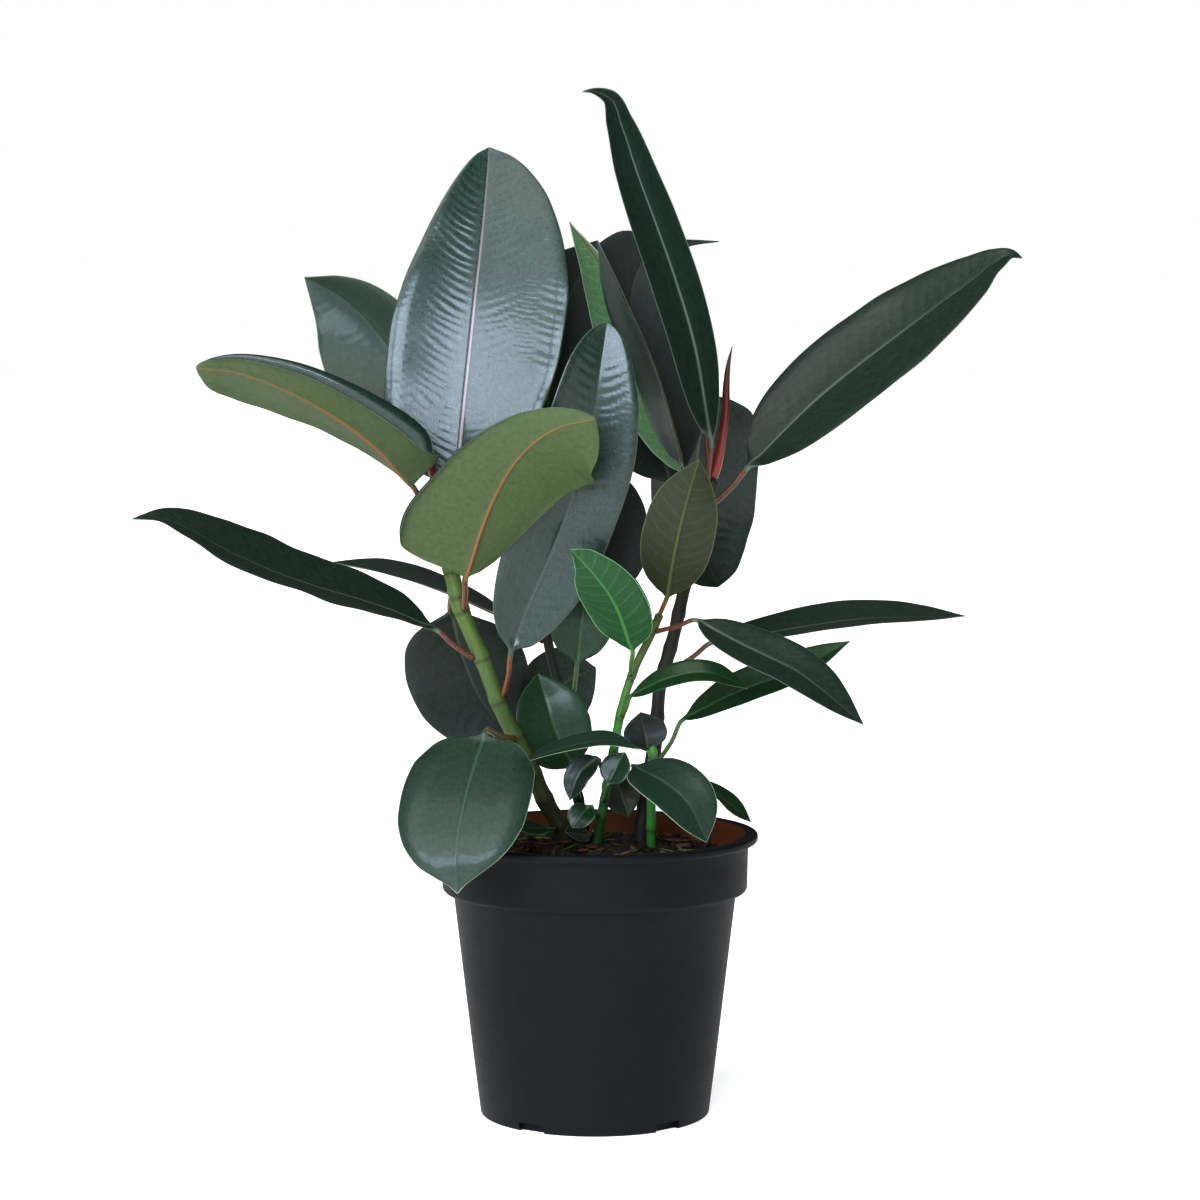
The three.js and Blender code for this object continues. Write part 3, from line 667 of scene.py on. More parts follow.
LEAF_STYLES: dict[str, LeafStyle] = {
    "leaf_left_1": LeafStyle(Tone.GLOSS, relief=0.32, vein_gap=5.0, wave=0.5, roll_left=18, roll_right=14),
    "leaf_left_2": LeafStyle(Tone.MOSS, relief=0.2, wave=0.5),
    "leaf_left_3": LeafStyle(Tone.NIGHT, relief=0.04, wave=0.5, roll_left=175, roll_right=30, roll_from=0.5),
    "leaf_left_4": LeafStyle(Tone.NIGHT, relief=0.04, wave=0.5, roll_left=20, roll_right=150, roll_from=0.86),
    "leaf_left_5": LeafStyle(Tone.SLATE, relief=0.22),
    "leaf_left_6": LeafStyle(Tone.DARK_AND_PAINTED_SHADE, relief=0.3, vein_gap=8.0),
    "leaf_left_7": LeafStyle(Tone.NIGHT, relief=0.42, vein_gap=6.0, wave=0.5, roll_left=25, roll_right=25),
    "leaf_left_8": LeafStyle(Tone.MOSS, relief=0.08, wave=0.5, roll_left=35, roll_right=35, roll_from=0.5),
    "leaf_left_9": LeafStyle(Tone.MOSS, relief=0.08, wave=0.3),
    "leaf_left_10": LeafStyle(Tone.BRIGHT, wave=0.3),
    "leaf_right_1": LeafStyle(Tone.SLATE, relief=0.34, vein_gap=8.5, wave=0.4),
    "leaf_right_2": LeafStyle(Tone.SLATE, wave=0.3),
    "leaf_right_3": LeafStyle(Tone.PALE, wave=0.3, relief=0.05),
    "leaf_right_4": LeafStyle(Tone.DARK_AND_PAINTED_SHADE),
    "leaf_right_5": LeafStyle(Tone.SLATE, relief=0.42, vein_gap=8.5),
    "leaf_right_6": LeafStyle(Tone.SLATE, relief=0.14, wave=0.4, vein_gap=8.0),
    "leaf_right_7": LeafStyle(Tone.SLATE, wave=0.4),
    "leaf_right_8": LeafStyle(Tone.DEEP, wave=0.3),
    "leaf_slender_1": LeafStyle(Tone.OLIVE, relief=0.05, wave=0.4),
    "leaf_slender_2": LeafStyle(Tone.SLATE, wave=0.4),
    "leaf_slender_3": LeafStyle(Tone.BRIGHT, relief=0.06, wave=0.5, roll_left=120, roll_right=70,
                                roll_from=0.72),
    "leaf_slender_4": LeafStyle(Tone.DEEP, wave=0.4),
    "leaf_slender_5": LeafStyle(Tone.OLIVE, wave=0.3),
    "leaf_slender_6": LeafStyle(Tone.SLATE, wave=0.3),
    "leaf_slender_7": LeafStyle(Tone.DEEP, wave=0.3),
    "leaf_slender_8": LeafStyle(Tone.BRIGHT, wave=0.3),
    "leaf_back_1": LeafStyle(Tone.DARK_AND_PAINTED_SHADE),
    "leaf_back_2": LeafStyle(Tone.DARK_AND_PAINTED_SHADE),
    "leaf_back_3": LeafStyle(Tone.SLATE, wave=0.5),
    "leaf_back_4": LeafStyle(Tone.DEEP, relief=0.06, wave=0.4),
    "leaf_back_5": LeafStyle(Tone.GREY, relief=0.3),
    "leaf_back_6": LeafStyle(Tone.DEEP, relief=0.05, wave=0.4),
    "leaf_back_7": LeafStyle(Tone.SLATE, wave=0.3),
    "leaf_shoot_1": LeafStyle(Tone.DARK_AND_PAINTED_SHADE, wave=0.4),
    "leaf_shoot_2": LeafStyle(Tone.DEEP, wave=0.4),
    "leaf_shoot_3": LeafStyle(Tone.MOSS, relief=0.1, wave=0.4),
}


@dataclass
class Leaf:
    """One leaf, grown finely over the frame's plain one."""

    name: str
    style: LeafStyle
    blade_thickness: float = 0.8 * MM
    blade_step: float = 1.6 * MM
    stalk_step: float = 2.5 * MM
    groove_depth: float = 0.35 * MM
    vein_lean: float = 0.42  # how far a side vein moves along the blade for each step across it
    wave_length: float = 85 * MM
    skeleton: dict[str, np.ndarray] = field(default_factory=dict)

    def read_skeleton(self) -> None:
        """Finds the line, width, lift and facing of the leaf in its frame node."""
        loft = Loft.read(self.name)
        blade_from = next(i for i, ring in enumerate(loft.rings) if flatness(ring) > 1.12)
        centres, sides, ups, rights, lefts, lifts = [], [], [], [], [], []
        for ring in loft.rings[blade_from:]:
            i = int(np.argmax(np.linalg.norm(ring[:4] - ring[4:], axis=1)))
            edge_a, edge_b = ring[i], ring[(i + 4) % 8]
            mid_a, mid_b = ring[(i + 2) % 8], ring[(i + 6) % 8]
            centre = (mid_a + mid_b) / 2
            centres.append(centre)
            sides.append(unit(edge_a - edge_b))
            ups.append(unit(mid_a - mid_b))
            rights.append(float(np.dot(edge_a - centre, sides[-1])))
            lefts.append(float(np.dot(centre - edge_b, sides[-1])))
            lifts.append((edge_a + edge_b) / 2 - centre)
        widest = int(np.argmax(np.add(rights, lefts)))
        if np.dot(ups[widest], lifts[widest]) < 0:
            ups[widest] = -ups[widest]
        toward_tip = centres[min(widest + 1, len(centres) - 1)] - centres[widest - 1]
        if np.dot(np.cross(toward_tip, ups[widest]), sides[widest]) < 0:
            sides[widest] = -sides[widest]
            rights[widest], lefts[widest] = lefts[widest], rights[widest]
        for order in (range(widest + 1, len(ups)), range(widest - 1, -1, -1)):
            for i in order:
                beside = i - 1 if i > widest else i + 1
                if np.dot(ups[i], ups[beside]) < 0:
                    ups[i] = -ups[i]
                if np.dot(sides[i], sides[beside]) < 0:
                    sides[i] = -sides[i]
                    rights[i], lefts[i] = lefts[i], rights[i]
        raised = [float(np.dot(lift, up)) for lift, up in zip(lifts, ups)]
        stalk = [ring.mean(axis=0) for ring in loft.rings[:blade_from]]
        radius = float(np.linalg.norm(loft.rings[0] - stalk[0], axis=1).mean())
        line = np.array(stalk + centres + [loft.ends[1]])
        self.skeleton = {
            "line": line,
            "sides": np.array([sides[0]] * blade_from + sides + [sides[-1]]),
            "ups": np.array([ups[0]] * blade_from + ups + [ups[-1]]),
            "rights": np.array([radius] * blade_from + rights + [0.25 * MM]),
            "lefts": np.array([radius] * blade_from + lefts + [0.25 * MM]),
            "lifts": np.array([0.0] * blade_from + raised + [0.0]),
            "knots": np.concatenate([[0], np.cumsum(np.linalg.norm(np.diff(line, axis=0), axis=1))]),
            "radius": np.array([radius]),
            "base": np.array([blade_from - 1]),
        }

    def across(self, widest: float) -> np.ndarray:
        """Where the section's points lie from one margin to the other, as shares of the half width.

        Args:
            widest: the largest half width in metres, which says how many points are needed.

        Returns:
            Shares falling from 1 to -1, closer together at the midrib and the margins.
        """
        count = int(np.clip(widest / (3.2 * MM), 5, 16))
        rib = np.array([0.6, 1.3, 2.4]) * MM / widest
        rest = np.linspace(rib[-1], 0.96, count + 1)[1:]
        half = np.concatenate([rib, rest, [0.985, 1.0]])
        return np.concatenate([half[::-1], [0.0], -half])

    def build(self) -> bpy.types.Object:
        """Grows the leaf.

        Returns:
            The leaf as one closed mesh, with its stalk.
        """
        self.read_skeleton()
        bones, style = self.skeleton, self.style
        rng = np.random.default_rng(sum(ord(c) * (i + 3) for i, c in enumerate(self.name)))
        knots, base = bones["knots"], int(bones["base"][0])
        stalk_end, total = knots[base], knots[-1]
        widest = float((bones["rights"] + bones["lefts"]).max()) / 2
        stalk_count = max(4, int(stalk_end / self.stalk_step))
        step = min(self.blade_step, style.vein_gap * MM / 6) if style.relief > 0.2 else self.blade_step
        blade_count = max(24, int((total - stalk_end) / step))
        tip_ease = 1 - (1 - np.linspace(0, 1, blade_count)) ** 1.12
        at = np.concatenate([
            np.linspace(0, stalk_end, stalk_count, endpoint=False),
            stalk_end + (total - stalk_end) * tip_ease * 0.9985,
        ])
        centre = smooth_line(knots, bones["line"], at)
        along = unit(np.gradient(centre, at, axis=0))
        up = square_to(along, smooth_line(knots, bones["ups"], at))
        side = np.cross(along, up)
        right = np.maximum(steady_line(knots, bones["rights"], at), 0.2 * MM)
        left = np.maximum(steady_line(knots, bones["lefts"], at), 0.2 * MM)
        lift = steady_line(knots, bones["lifts"], at)
        share = np.clip((at - stalk_end) / (total - stalk_end), 0, 1)
        bladed = smoothstep(at, stalk_end - 1 * MM, float(knots[base + 1]) + 2 * MM)
        v = self.across(widest)
        radius = float(bones["radius"][0]) * (1 + 0.35 * np.exp(-at / (2 * MM)))
        half = np.where(v[None, :] >= 0, right[:, None], left[:, None])
        x, y, swing, reach, phase = self.lamina(v, at, half, lift, share, stalk_end, rng)
        thick = self.blade_thickness / 2 * np.sqrt(np.clip(1 - np.abs(v) ** 5, 0, 1))
        rib_width = np.maximum(radius * 0.75 * (1 - 0.6 * share), 0.35 * MM)[:, None]
        ridge = (radius * 0.95 * (1 - share) ** 0.8)[:, None] * np.exp(-(reach / rib_width) ** 2)
        groove = self.groove_depth * np.exp(-(reach / (0.9 * MM)) ** 2) * ((1 - share) ** 0.4)[:, None]
        circle = radius[:, None] * np.sqrt(np.clip(1 - v**2, 0, 1))
        mix = bladed[:, None]
        # the sheet's thickness turns with the roll, so that a rolled margin shows its upper side
        lean = mix * np.sign(v)[None, :] * np.sin(swing) * thick
        stand = np.cos(swing) * thick
        top = y * mix + (1 - mix) * circle + mix * (stand - groove)
        bottom = y * mix - (1 - mix) * circle - mix * (stand + ridge)
        columns = np.concatenate([np.arange(len(v)), np.arange(len(v) - 2, 0, -1)])
        is_top = np.arange(len(columns)) < len(v)
        height = np.where(is_top[None, :], top[:, columns], bottom[:, columns])
        spread = np.where(is_top[None, :], (x + lean)[:, columns], (x - lean)[:, columns])
        points = (centre[:, None, :] + side[:, None, :] * spread[..., None]
                  + up[:, None, :] * height[..., None])
        ring_size, ring_count = len(columns), len(at)
        flat = np.vstack([points.reshape(-1, 3), bones["line"][0], bones["line"][-1]])
        faces, slots = self.faces(ring_size, ring_count, len(v), stalk_count)
        edge = ((1 - np.abs(v))[None, :] * half)[:, columns] / MM
        blade_rows = np.stack([
            np.broadcast_to(share[:, None], spread.shape),
            np.broadcast_to(v[columns][None, :], spread.shape),
            phase[:, columns],
        ], axis=-1).reshape(-1, 3)
        rib_rows = np.stack([
            np.abs(reach[:, columns]) / MM, edge, np.broadcast_to(at[:, None] / MM, spread.shape),
        ], axis=-1).reshape(-1, 3)
        ends = np.zeros((2, 3))
        places = {"blade": np.vstack([blade_rows, ends]), "ribs": np.vstack([rib_rows, ends])}
        return mesh_piece(self.name + "_grown", flat, faces, MATERIALS.leaf(style.tone), slots, places)

    def lamina(self, v: np.ndarray, at: np.ndarray, half: np.ndarray, lift: np.ndarray, share: np.ndarray,
               stalk_end: float, rng: np.random.Generator) -> tuple[np.ndarray, ...]:
        """The blade's middle surface: its fold, rolled margins, wandering edge and pressed-in veins.

        Args:
            v: shares of the half width across the blade.
            at: distances along the leaf.
            half: each side's half width at each distance.
            lift: how far the margin stands above the midrib at each distance.
            share: each distance as a share of the blade.
            stalk_end: where the blade starts.
            rng: where the small irregularities come from.

        Returns:
            The sideways and upward offsets, how far the sheet is turned down in radians, the
            unrolled sideways reach, and the vein phase.
        """
        style = self.style
        size = np.abs(v)
        reach = half * v[None, :]
        y = lift[:, None] * size[None, :] ** style.cup
        rolled = np.clip((size - style.roll_from) / (1 - style.roll_from), 0, 1)
        degrees = np.where(v > 0, style.roll_right, style.roll_left)
        turn = np.radians(np.maximum(degrees, 0.1))
        band = (1 - style.roll_from) * half
        eased = smoothstep(share, 0.02, 0.2)[:, None] * (1 - smoothstep(share, 0.93, 1.0))[:, None]
        turn = turn[None, :] * eased + 1e-4
        swing = turn * rolled[None, :]
        # the flat part is widened by what the roll takes up, so that the leaf keeps its width
        widened = (1 - (1 - style.roll_from) * np.sin(np.minimum(turn, math.pi / 2)) / turn) / style.roll_from
        flat = np.minimum(size, style.roll_from)[None, :] * widened * half
        x = np.sign(v)[None, :] * (flat + band * np.sin(swing) / turn)
        y -= band * (1 - np.cos(swing)) / turn
        wander = np.stack([ripple(rng, at, self.wave_length), ripple(rng, at, self.wave_length)])
        sway = np.where(v > 0, wander[0][:, None], wander[1][:, None])
        y += style.wave * MM * sway * size[None, :] ** 2.2 \
            * smoothstep(share, 0.0, 0.15)[:, None] * np.minimum(half / (20 * MM), 1)
        gap = style.vein_gap * MM
        run = at[:, None] - stalk_end - self.vein_lean * np.abs(reach) \
            - 0.35 * size[None, :] ** 4 * half
        uneven = 0.22 * gap * ripple(rng, at, 31 * MM)[:, None]
        phase = (run + uneven) / gap + np.where(v > 0, 0.0, 0.45)[None, :]
        pillow = np.sqrt(np.abs(np.sin(np.pi * phase)) + 0.02) - 0.75
        strength = smoothstep(size, 0.03, 0.25) * (1 - smoothstep(size, 0.78, 0.97))
        patchy = 1 + 0.35 * ripple(rng, at, 45 * MM)
        y += style.relief * MM * pillow * strength[None, :] * (patchy * smoothstep(share, 0.02, 0.12)
                                                              * (1 - smoothstep(share, 0.85, 0.98)))[:, None]
        return x, y, swing, reach, phase

    def faces(self, ring_size: int, ring_count: int, top_count: int,
              stalk_count: int) -> tuple[list[tuple[int, ...]], np.ndarray]:
        """The leaf's faces and the material slot of each.

        Args:
            ring_size: points in a ring.
            ring_count: rings from the stem to the tip.
            top_count: how many of a ring's points lie on the upper side, margins included.
            stalk_count: how many rings belong to the stalk.

        Returns:
            The faces, and 0, 1 or 2 for upper side, underside or stalk.
        """
        faces: list[tuple[int, ...]] = []
        slots: list[int] = []
        for ring in range(ring_count - 1):
            for side in range(ring_size):
                after = (side + 1) % ring_size
                a, b = ring * ring_size, (ring + 1) * ring_size
                faces.append((a + side, a + after, b + after, b + side))
                slots.append(2 if ring < stalk_count - 1 else int(side >= top_count - 1))
        root, tip = ring_size * ring_count, ring_size * ring_count + 1
        last = (ring_count - 1) * ring_size
        for side in range(ring_size):
            after = (side + 1) % ring_size
            faces.append((root, after, side))
            slots.append(2)
            faces.append((tip, last + side, last + after))
            slots.append(int(side >= top_count - 1))
        return faces, np.array(slots)


# ------------------------------------------------------------------ stems and sheaths


@dataclass
class Stem:
    """A stem: a smooth tube over the frame's, swollen and ringed where leaves leave or left it."""

    name: str
    finish: StemFinish
    slot: str
    leaf_names: list[str]
    scar_gap: float = 21 * MM
    sides: int = 28
    step: float = 1.5 * MM
    scar_depth: float = 0.35 * MM
    swelling: float = 0.16

    def scars(self, line: np.ndarray, knots: np.ndarray) -> np.ndarray:
        """Distances up the stem at which it is ringed.

        Args:
            line: the stem's centre line.
            knots: the distance of each of its points.

        Returns:
            The rings' distances: one below each leaf, and the older ones in between.
        """
        marks = []
        for leaf_name in self.leaf_names:
            root = Loft.read(leaf_name).ends[0]
            marks.append(float(knots[int(np.argmin(np.linalg.norm(line - root, axis=1)))]) - 2.5 * MM)
        for old in np.arange(knots[0] + 30 * MM, knots[-1], self.scar_gap):
            if all(abs(old - mark) > 0.55 * self.scar_gap for mark in marks):
                marks.append(float(old))
        return np.array(sorted(marks))

    def build(self) -> bpy.types.Object:
        """Makes the stem.

        Returns:
            The stem as one closed mesh.
        """
        loft = Loft.read(self.name)
        rings = loft.rings if loft.ends[0][2] < loft.ends[1][2] else loft.rings[::-1]
        middle = np.array([ring.mean(axis=0) for ring in rings])
        radii = np.array([np.linalg.norm(ring - ring.mean(axis=0), axis=1).mean() for ring in rings])
        knots = np.concatenate([[0], np.cumsum(np.linalg.norm(np.diff(middle, axis=0), axis=1))])
        at = np.linspace(0, knots[-1], int(knots[-1] / self.step))
        line = smooth_line(knots, middle, at)
        radius = steady_line(knots, radii, at) * 0.97
        marks = self.scars(line, at)
        ring_mask = np.zeros_like(at)
        for mark in marks:
            bulge = np.exp(-((at - mark - 1.5 * MM) / (4 * MM)) ** 2)
            radius = radius * (1 + self.swelling * bulge)
            ring_mask = np.maximum(ring_mask, np.exp(-((at - mark) / (0.8 * MM)) ** 2))
        radius = radius - self.scar_depth * ring_mask
        from_top = (knots[-1] - at) / (radius[-1] * 1.0)
        radius = radius * np.sqrt(np.clip(1 - np.clip(1 - from_top, 0, 1) ** 2, 0.02, 1))
        return tube(self.name + "_bark", line, radius, self.sides, [self.finish.material()], ring_mask)


def tube(name: str, line: np.ndarray, radius: np.ndarray, sides: int,
         materials: list[bpy.types.Material], mask: np.ndarray) -> bpy.types.Object:
    """A closed round mesh along a line.

    Args:
        name: the piece's name.
        line: its centre line, one row each.
        radius: its radius at each row.
        sides: how many points go round it.
        materials: its materials.
        mask: a number for each row, which its material reads as the ring marks.

    Returns:
        The new object, whose bark places are the share of the way up, the mask and the angle.
    """
    along = unit(np.gradient(line, axis=0))
    front = square_to(along, np.broadcast_to([0.0, -1.0, 0.0], along.shape))
    beside = np.cross(along, front)
    angle = np.linspace(0, 2 * math.pi, sides, endpoint=False)
    ring = (front[:, None, :] * np.cos(angle)[None, :, None]
            + beside[:, None, :] * np.sin(angle)[None, :, None])
    points = (line[:, None, :] + ring * radius[:, None, None]).reshape(-1, 3)
    points = np.vstack([points, line[0], line[-1]])
    rows = len(line)
    share = np.linspace(0, 1, rows)
    places = np.stack([np.repeat(share, sides), np.repeat(mask, sides), np.tile(angle, rows)], axis=-1)
    places = np.vstack([places, [0, 0, 0], [1, 0, 0]])
    faces: list[tuple[int, ...]] = []
    for row in range(rows - 1):
        for side in range(sides):
            after = (side + 1) % sides
            faces.append((row * sides + side, row * sides + after, (row + 1) * sides + after,
                          (row + 1) * sides + side))
    for side in range(sides):
        after = (side + 1) % sides
        faces.append((rows * sides, after, side))
        faces.append((rows * sides + 1, (rows - 1) * sides + side, (rows - 1) * sides + after))
    return mesh_piece(name, points, faces, materials, None, {"bark": places})


@dataclass
class BudSheath:
    """The red sheath round a stem's next leaf: rolled, ridged and drawn out to a fine tip."""

    name: str
    sides: int = 24
    ridge: float = 0.12

    def build(self) -> bpy.types.Object:
        """Makes the sheath.

        Returns:
            The sheath as one closed mesh.
        """
        loft = Loft.read(self.name)
        rings, ends = loft.rings, loft.ends
        if ends[0][2] > ends[1][2]:
            rings, ends = rings[::-1], ends[::-1]
        middle = np.array([ring.mean(axis=0) for ring in rings] + [ends[1]])
        means = [np.linalg.norm(ring - ring.mean(axis=0), axis=1).mean() for ring in rings]
        radii = np.array(means + [0.15 * MM])
        knots = np.concatenate([[0], np.cumsum(np.linalg.norm(np.diff(middle, axis=0), axis=1))])
        at = np.linspace(0, knots[-1], 70)
        line = smooth_line(knots, middle, at)
        radius = steady_line(knots, radii, at)
        piece = tube(self.name + "_skin", line, radius, self.sides, [SheathFinish().material()],
                     np.zeros_like(at))
        self.pleat(piece, line)
        return piece

    def pleat(self, piece: bpy.types.Object, line: np.ndarray) -> None:
        """Presses a winding overlap seam and long ridges into the sheath.

        Args:
            piece: the round sheath.
            line: its centre line.
        """
        mesh = piece.data
        count = len(line) * self.sides
        flat = np.empty(3 * len(mesh.vertices))
        mesh.vertices.foreach_get("co", flat)
        points = flat.reshape(-1, 3)
        middle = np.repeat(line, self.sides, axis=0)
        angle = np.tile(np.linspace(0, 2 * math.pi, self.sides, endpoint=False), len(line))
        turn = np.repeat(np.linspace(0, 1.6, len(line)), self.sides)
        seam = np.exp(-((np.mod(angle - turn + math.pi, 2 * math.pi) - math.pi) / 0.35) ** 2)
        scale = 1 - 0.22 * seam + self.ridge * 0.5 * np.cos(3 * (angle - turn))
        points[:count] = middle + (points[:count] - middle) * scale[:, None]
        mesh.vertices.foreach_set("co", points.ravel())
        mesh.update()


# ------------------------------------------------------------------ the pot


@dataclass
class NurseryPot:
    """The moulded pot, turned from the frame's sizes with its true radii and cut-outs."""

    node: str = "pot"
    lip_height: float = 5 * MM
    collar_height: float = 34 * MM
    collar_inset: float = 5.5 * MM
    wall_top_inset: float = 12.5 * MM
    foot_inset: float = 28 * MM
    wall: float = 2 * MM
    foot_ring: float = 5 * MM
    channel_width: float = 15 * MM
    channel_height: float = 5 * MM
    notch_width: float = 17 * MM
    notch_count: int = 5
    notch_bearing: float = 39.0
    hole_radius: float = 5 * MM
    hole_count: int = 10
    segments: int = 192

    def sizes(self) -> None:
        """Takes the pot's height and lip from the frame."""
        low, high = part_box(self.node)
        self.height = high[2] - low[2]
        self.floor = low[2]
        self.lip_radius = (high[0] - low[0]) / 2

    def wall_radius(self, height: float) -> float:
        """The outer wall's radius at a height under the collar."""
        foot, top = self.lip_radius - self.foot_inset, self.lip_radius - self.wall_top_inset
        return foot + (top - foot) * height / (self.height - self.collar_height)

    def outside(self) -> list[tuple[float, float]]:
        """The section from the middle of the underside up to the lip, as radius and height."""
        lip, collar = self.lip_radius, self.lip_radius - self.collar_inset
        low = self.height - self.collar_height
        channel_out = self.wall_radius(0) - self.foot_ring
        channel_in = channel_out - self.channel_width
        points = [(0.0, 0.0), (channel_in - self.channel_height / 2, 0.0), (channel_in, self.channel_height),
                  (channel_out - 0.4 * MM, self.channel_height), (channel_out,
                                                                  self.channel_height - 0.4 * MM),
                  (channel_out, 0.4 * MM), (channel_out + 0.4 * MM, 0.0)]
        points += arc(self.wall_radius(0) - 1.6 * MM, 1.6 * MM, 1.6 * MM, -90, -5, 6)
        points += [(self.wall_radius(0.3 * low), 0.3 * low), (self.wall_radius(0.65 * low), 0.65 * low)]
        points += [(self.wall_radius(low - 1.2 * MM), low - 1.2 * MM)]
        points += [(self.wall_radius(low) + 0.5 * MM, low - 0.3 * MM), (self.wall_radius(low) + 1.4 * MM,
                                                                        low)]
        points += arc(collar - 3 * MM - 0.6 * MM, low + 3 * MM, 3 * MM, -90, -5, 6)
        points += [(collar - 0.3 * MM, low + 0.55 * (self.height - low)),
                   (collar, self.height - self.lip_height - 1.6 * MM)]
        points += [(collar + 0.4 * MM, self.height - self.lip_height - 0.5 * MM)]
        points += [(lip - 2.2 * MM, self.height - self.lip_height)]
        points += arc(lip - 2 * MM, self.height - self.lip_height + 2 * MM, 2 * MM, -80, 0, 5)
        points += arc(lip - 1.8 * MM, self.height - 1.8 * MM, 1.8 * MM, 0, 90, 6)
        return points

    def inside(self) -> list[tuple[float, float]]:
        """The section from the lip down the inside to the middle of the floor."""
        low = self.height - self.collar_height
        bore = self.lip_radius - self.collar_inset - self.wall
        channel_in = self.wall_radius(0) - self.foot_ring - self.channel_width
        floor = self.channel_height + self.wall
        points = [(bore + 1.2 * MM, self.height), (bore + 0.35 * MM, self.height - 0.35 * MM),
                  (bore, self.height - 1.2 * MM), (bore, low + 2 * self.wall + 1 * MM),
                  (bore - 1 * MM, low + 2 * self.wall)]
        points += [(self.wall_radius(low) - self.wall, low + self.wall / 2)]
        points += [(self.wall_radius(floor) - self.wall, floor + 0.3 * MM)]
        points += [(channel_in - self.wall, floor), (channel_in - self.wall - self.channel_height / 2,
                                                     self.wall)]
        points += [(0.0, self.wall)]
        return points

    def build(self) -> bpy.types.Object:
        """Turns the section, then cuts the foot notches and the drain holes.

        Returns:
            The pot as one closed mesh, black outside and brown inside.
        """
        self.sizes()
        outer, inner = self.outside(), self.inside()
        section = outer + inner
        angles = np.linspace(0, 2 * math.pi, self.segments, endpoint=False)
        points: list[tuple[float, float, float]] = []
        rows: list[list[int]] = []
        for radius, height in section:
            if radius == 0.0:
                rows.append([len(points)] * self.segments)
                points.append((0.0, 0.0, self.floor + height))
            else:
                rows.append(list(range(len(points), len(points) + self.segments)))
                points += [(radius * math.cos(a), radius * math.sin(a), self.floor + height) for a in angles]
        faces: list[tuple[int, ...]] = []
        slots: list[int] = []
        for row, (below, above) in enumerate(zip(rows, rows[1:])):
            for k in range(self.segments):
                after = (k + 1) % self.segments
                face = tuple(dict.fromkeys((below[k], below[after], above[after], above[k])))
                faces.append(face)
                slots.append(int(row >= len(outer) + 1))
        materials = [
            MouldedPlastic("black_moulded_polypropylene", "111215", "17181b", 0.55).material(),
            MouldedPlastic("brown_moulded_polypropylene", "63371f", "7c4a2a", 0.6).material(),
        ]
        piece = mesh_piece("nursery_pot", np.array(points), faces, materials, np.array(slots))
        self.cut(piece)
        return piece

    def cut(self, piece: bpy.types.Object) -> None:
        """Cuts the notches and holes with one boolean.

        Args:
            piece: the uncut pot.
        """
        cutter_mesh = bmesh.new()
        radius = self.wall_radius(0)
        for i in range(self.notch_count):
            bearing = math.radians(self.notch_bearing + 360 / self.notch_count * i)
            made = bmesh.ops.create_cube(cutter_mesh, size=1.0)["verts"]
            for vert in made:
                x = vert.co.x * self.notch_width
                y = vert.co.y * 3 * self.foot_ring - radius - 0.6 * self.foot_ring
                z = vert.co.z * 2 * self.channel_height + self.floor
                vert.co = turned(x, y, z, bearing)
        ring = radius - self.foot_ring - self.channel_width / 2
        for i in range(self.hole_count):
            bearing = math.radians(self.notch_bearing + 360 / self.hole_count * i)
            made = bmesh.ops.create_cone(cutter_mesh, cap_ends=True, segments=32, radius1=self.hole_radius,
                                         radius2=self.hole_radius, depth=4 * self.wall)["verts"]
            for vert in made:
                z = vert.co.z + self.floor + self.channel_height + self.wall / 2
                vert.co = turned(vert.co.x, vert.co.y - ring, z, bearing)
        mesh = bpy.data.meshes.new("pot_cutter")
        cutter_mesh.to_mesh(mesh)
        cutter_mesh.free()
        cutter = bpy.data.objects.new("pot_cutter", mesh)
        bpy.context.scene.collection.objects.link(cutter)
        boolean = piece.modifiers.new("cut", "BOOLEAN")
        boolean.operation = "DIFFERENCE"
        boolean.solver = "EXACT"
        boolean.object = cutter
        apply_modifiers(piece)
        bpy.data.objects.remove(cutter)
        sharpen(piece, 40)


def arc(centre_r: float, centre_z: float, radius: float, start: float, end: float,
        count: int) -> list[tuple[float, float]]:
    """Points on a rounded corner of a section.

    Args:
        centre_r: the corner centre's distance from the axis.
        centre_z: its height.
        radius: the corner's radius.
        start: the first angle in degrees, from straight out.
        end: the last angle.
        count: how many points.

    Returns:
        The points as radius and height.
    """
    angles = np.radians(np.linspace(start, end, count))
    return [(centre_r + radius * math.cos(a), centre_z + radius * math.sin(a)) for a in angles]


def turned(x: float, y: float, z: float, bearing: float) -> Vector:
    """A point turned about the pot's axis by a bearing in radians."""
    return Vector((x * math.cos(bearing) - y * math.sin(bearing),
                   x * math.sin(bearing) + y * math.cos(bearing), z))


def apply_modifiers(piece: bpy.types.Object) -> None:
    """Replaces a piece's mesh by the one that its modifiers give."""
    graph = bpy.context.evaluated_depsgraph_get()
    mesh = bpy.data.meshes.new_from_object(piece.evaluated_get(graph))
    piece.modifiers.clear()
    piece.data = mesh


def sharpen(piece: bpy.types.Object, angle: float) -> None:
    """Marks a smooth mesh's edges as sharp where its faces turn by more than an angle in degrees."""
    mesh = bmesh.new()
    mesh.from_mesh(piece.data)
    for edge in mesh.edges:
        edge.smooth = len(edge.link_faces) == 2 and edge.calc_face_angle(0.0) < math.radians(angle)
    for face in mesh.faces:
        face.smooth = True
    mesh.to_mesh(piece.data)
    mesh.free()


# ------------------------------------------------------------------ the potting mix and what lies on it


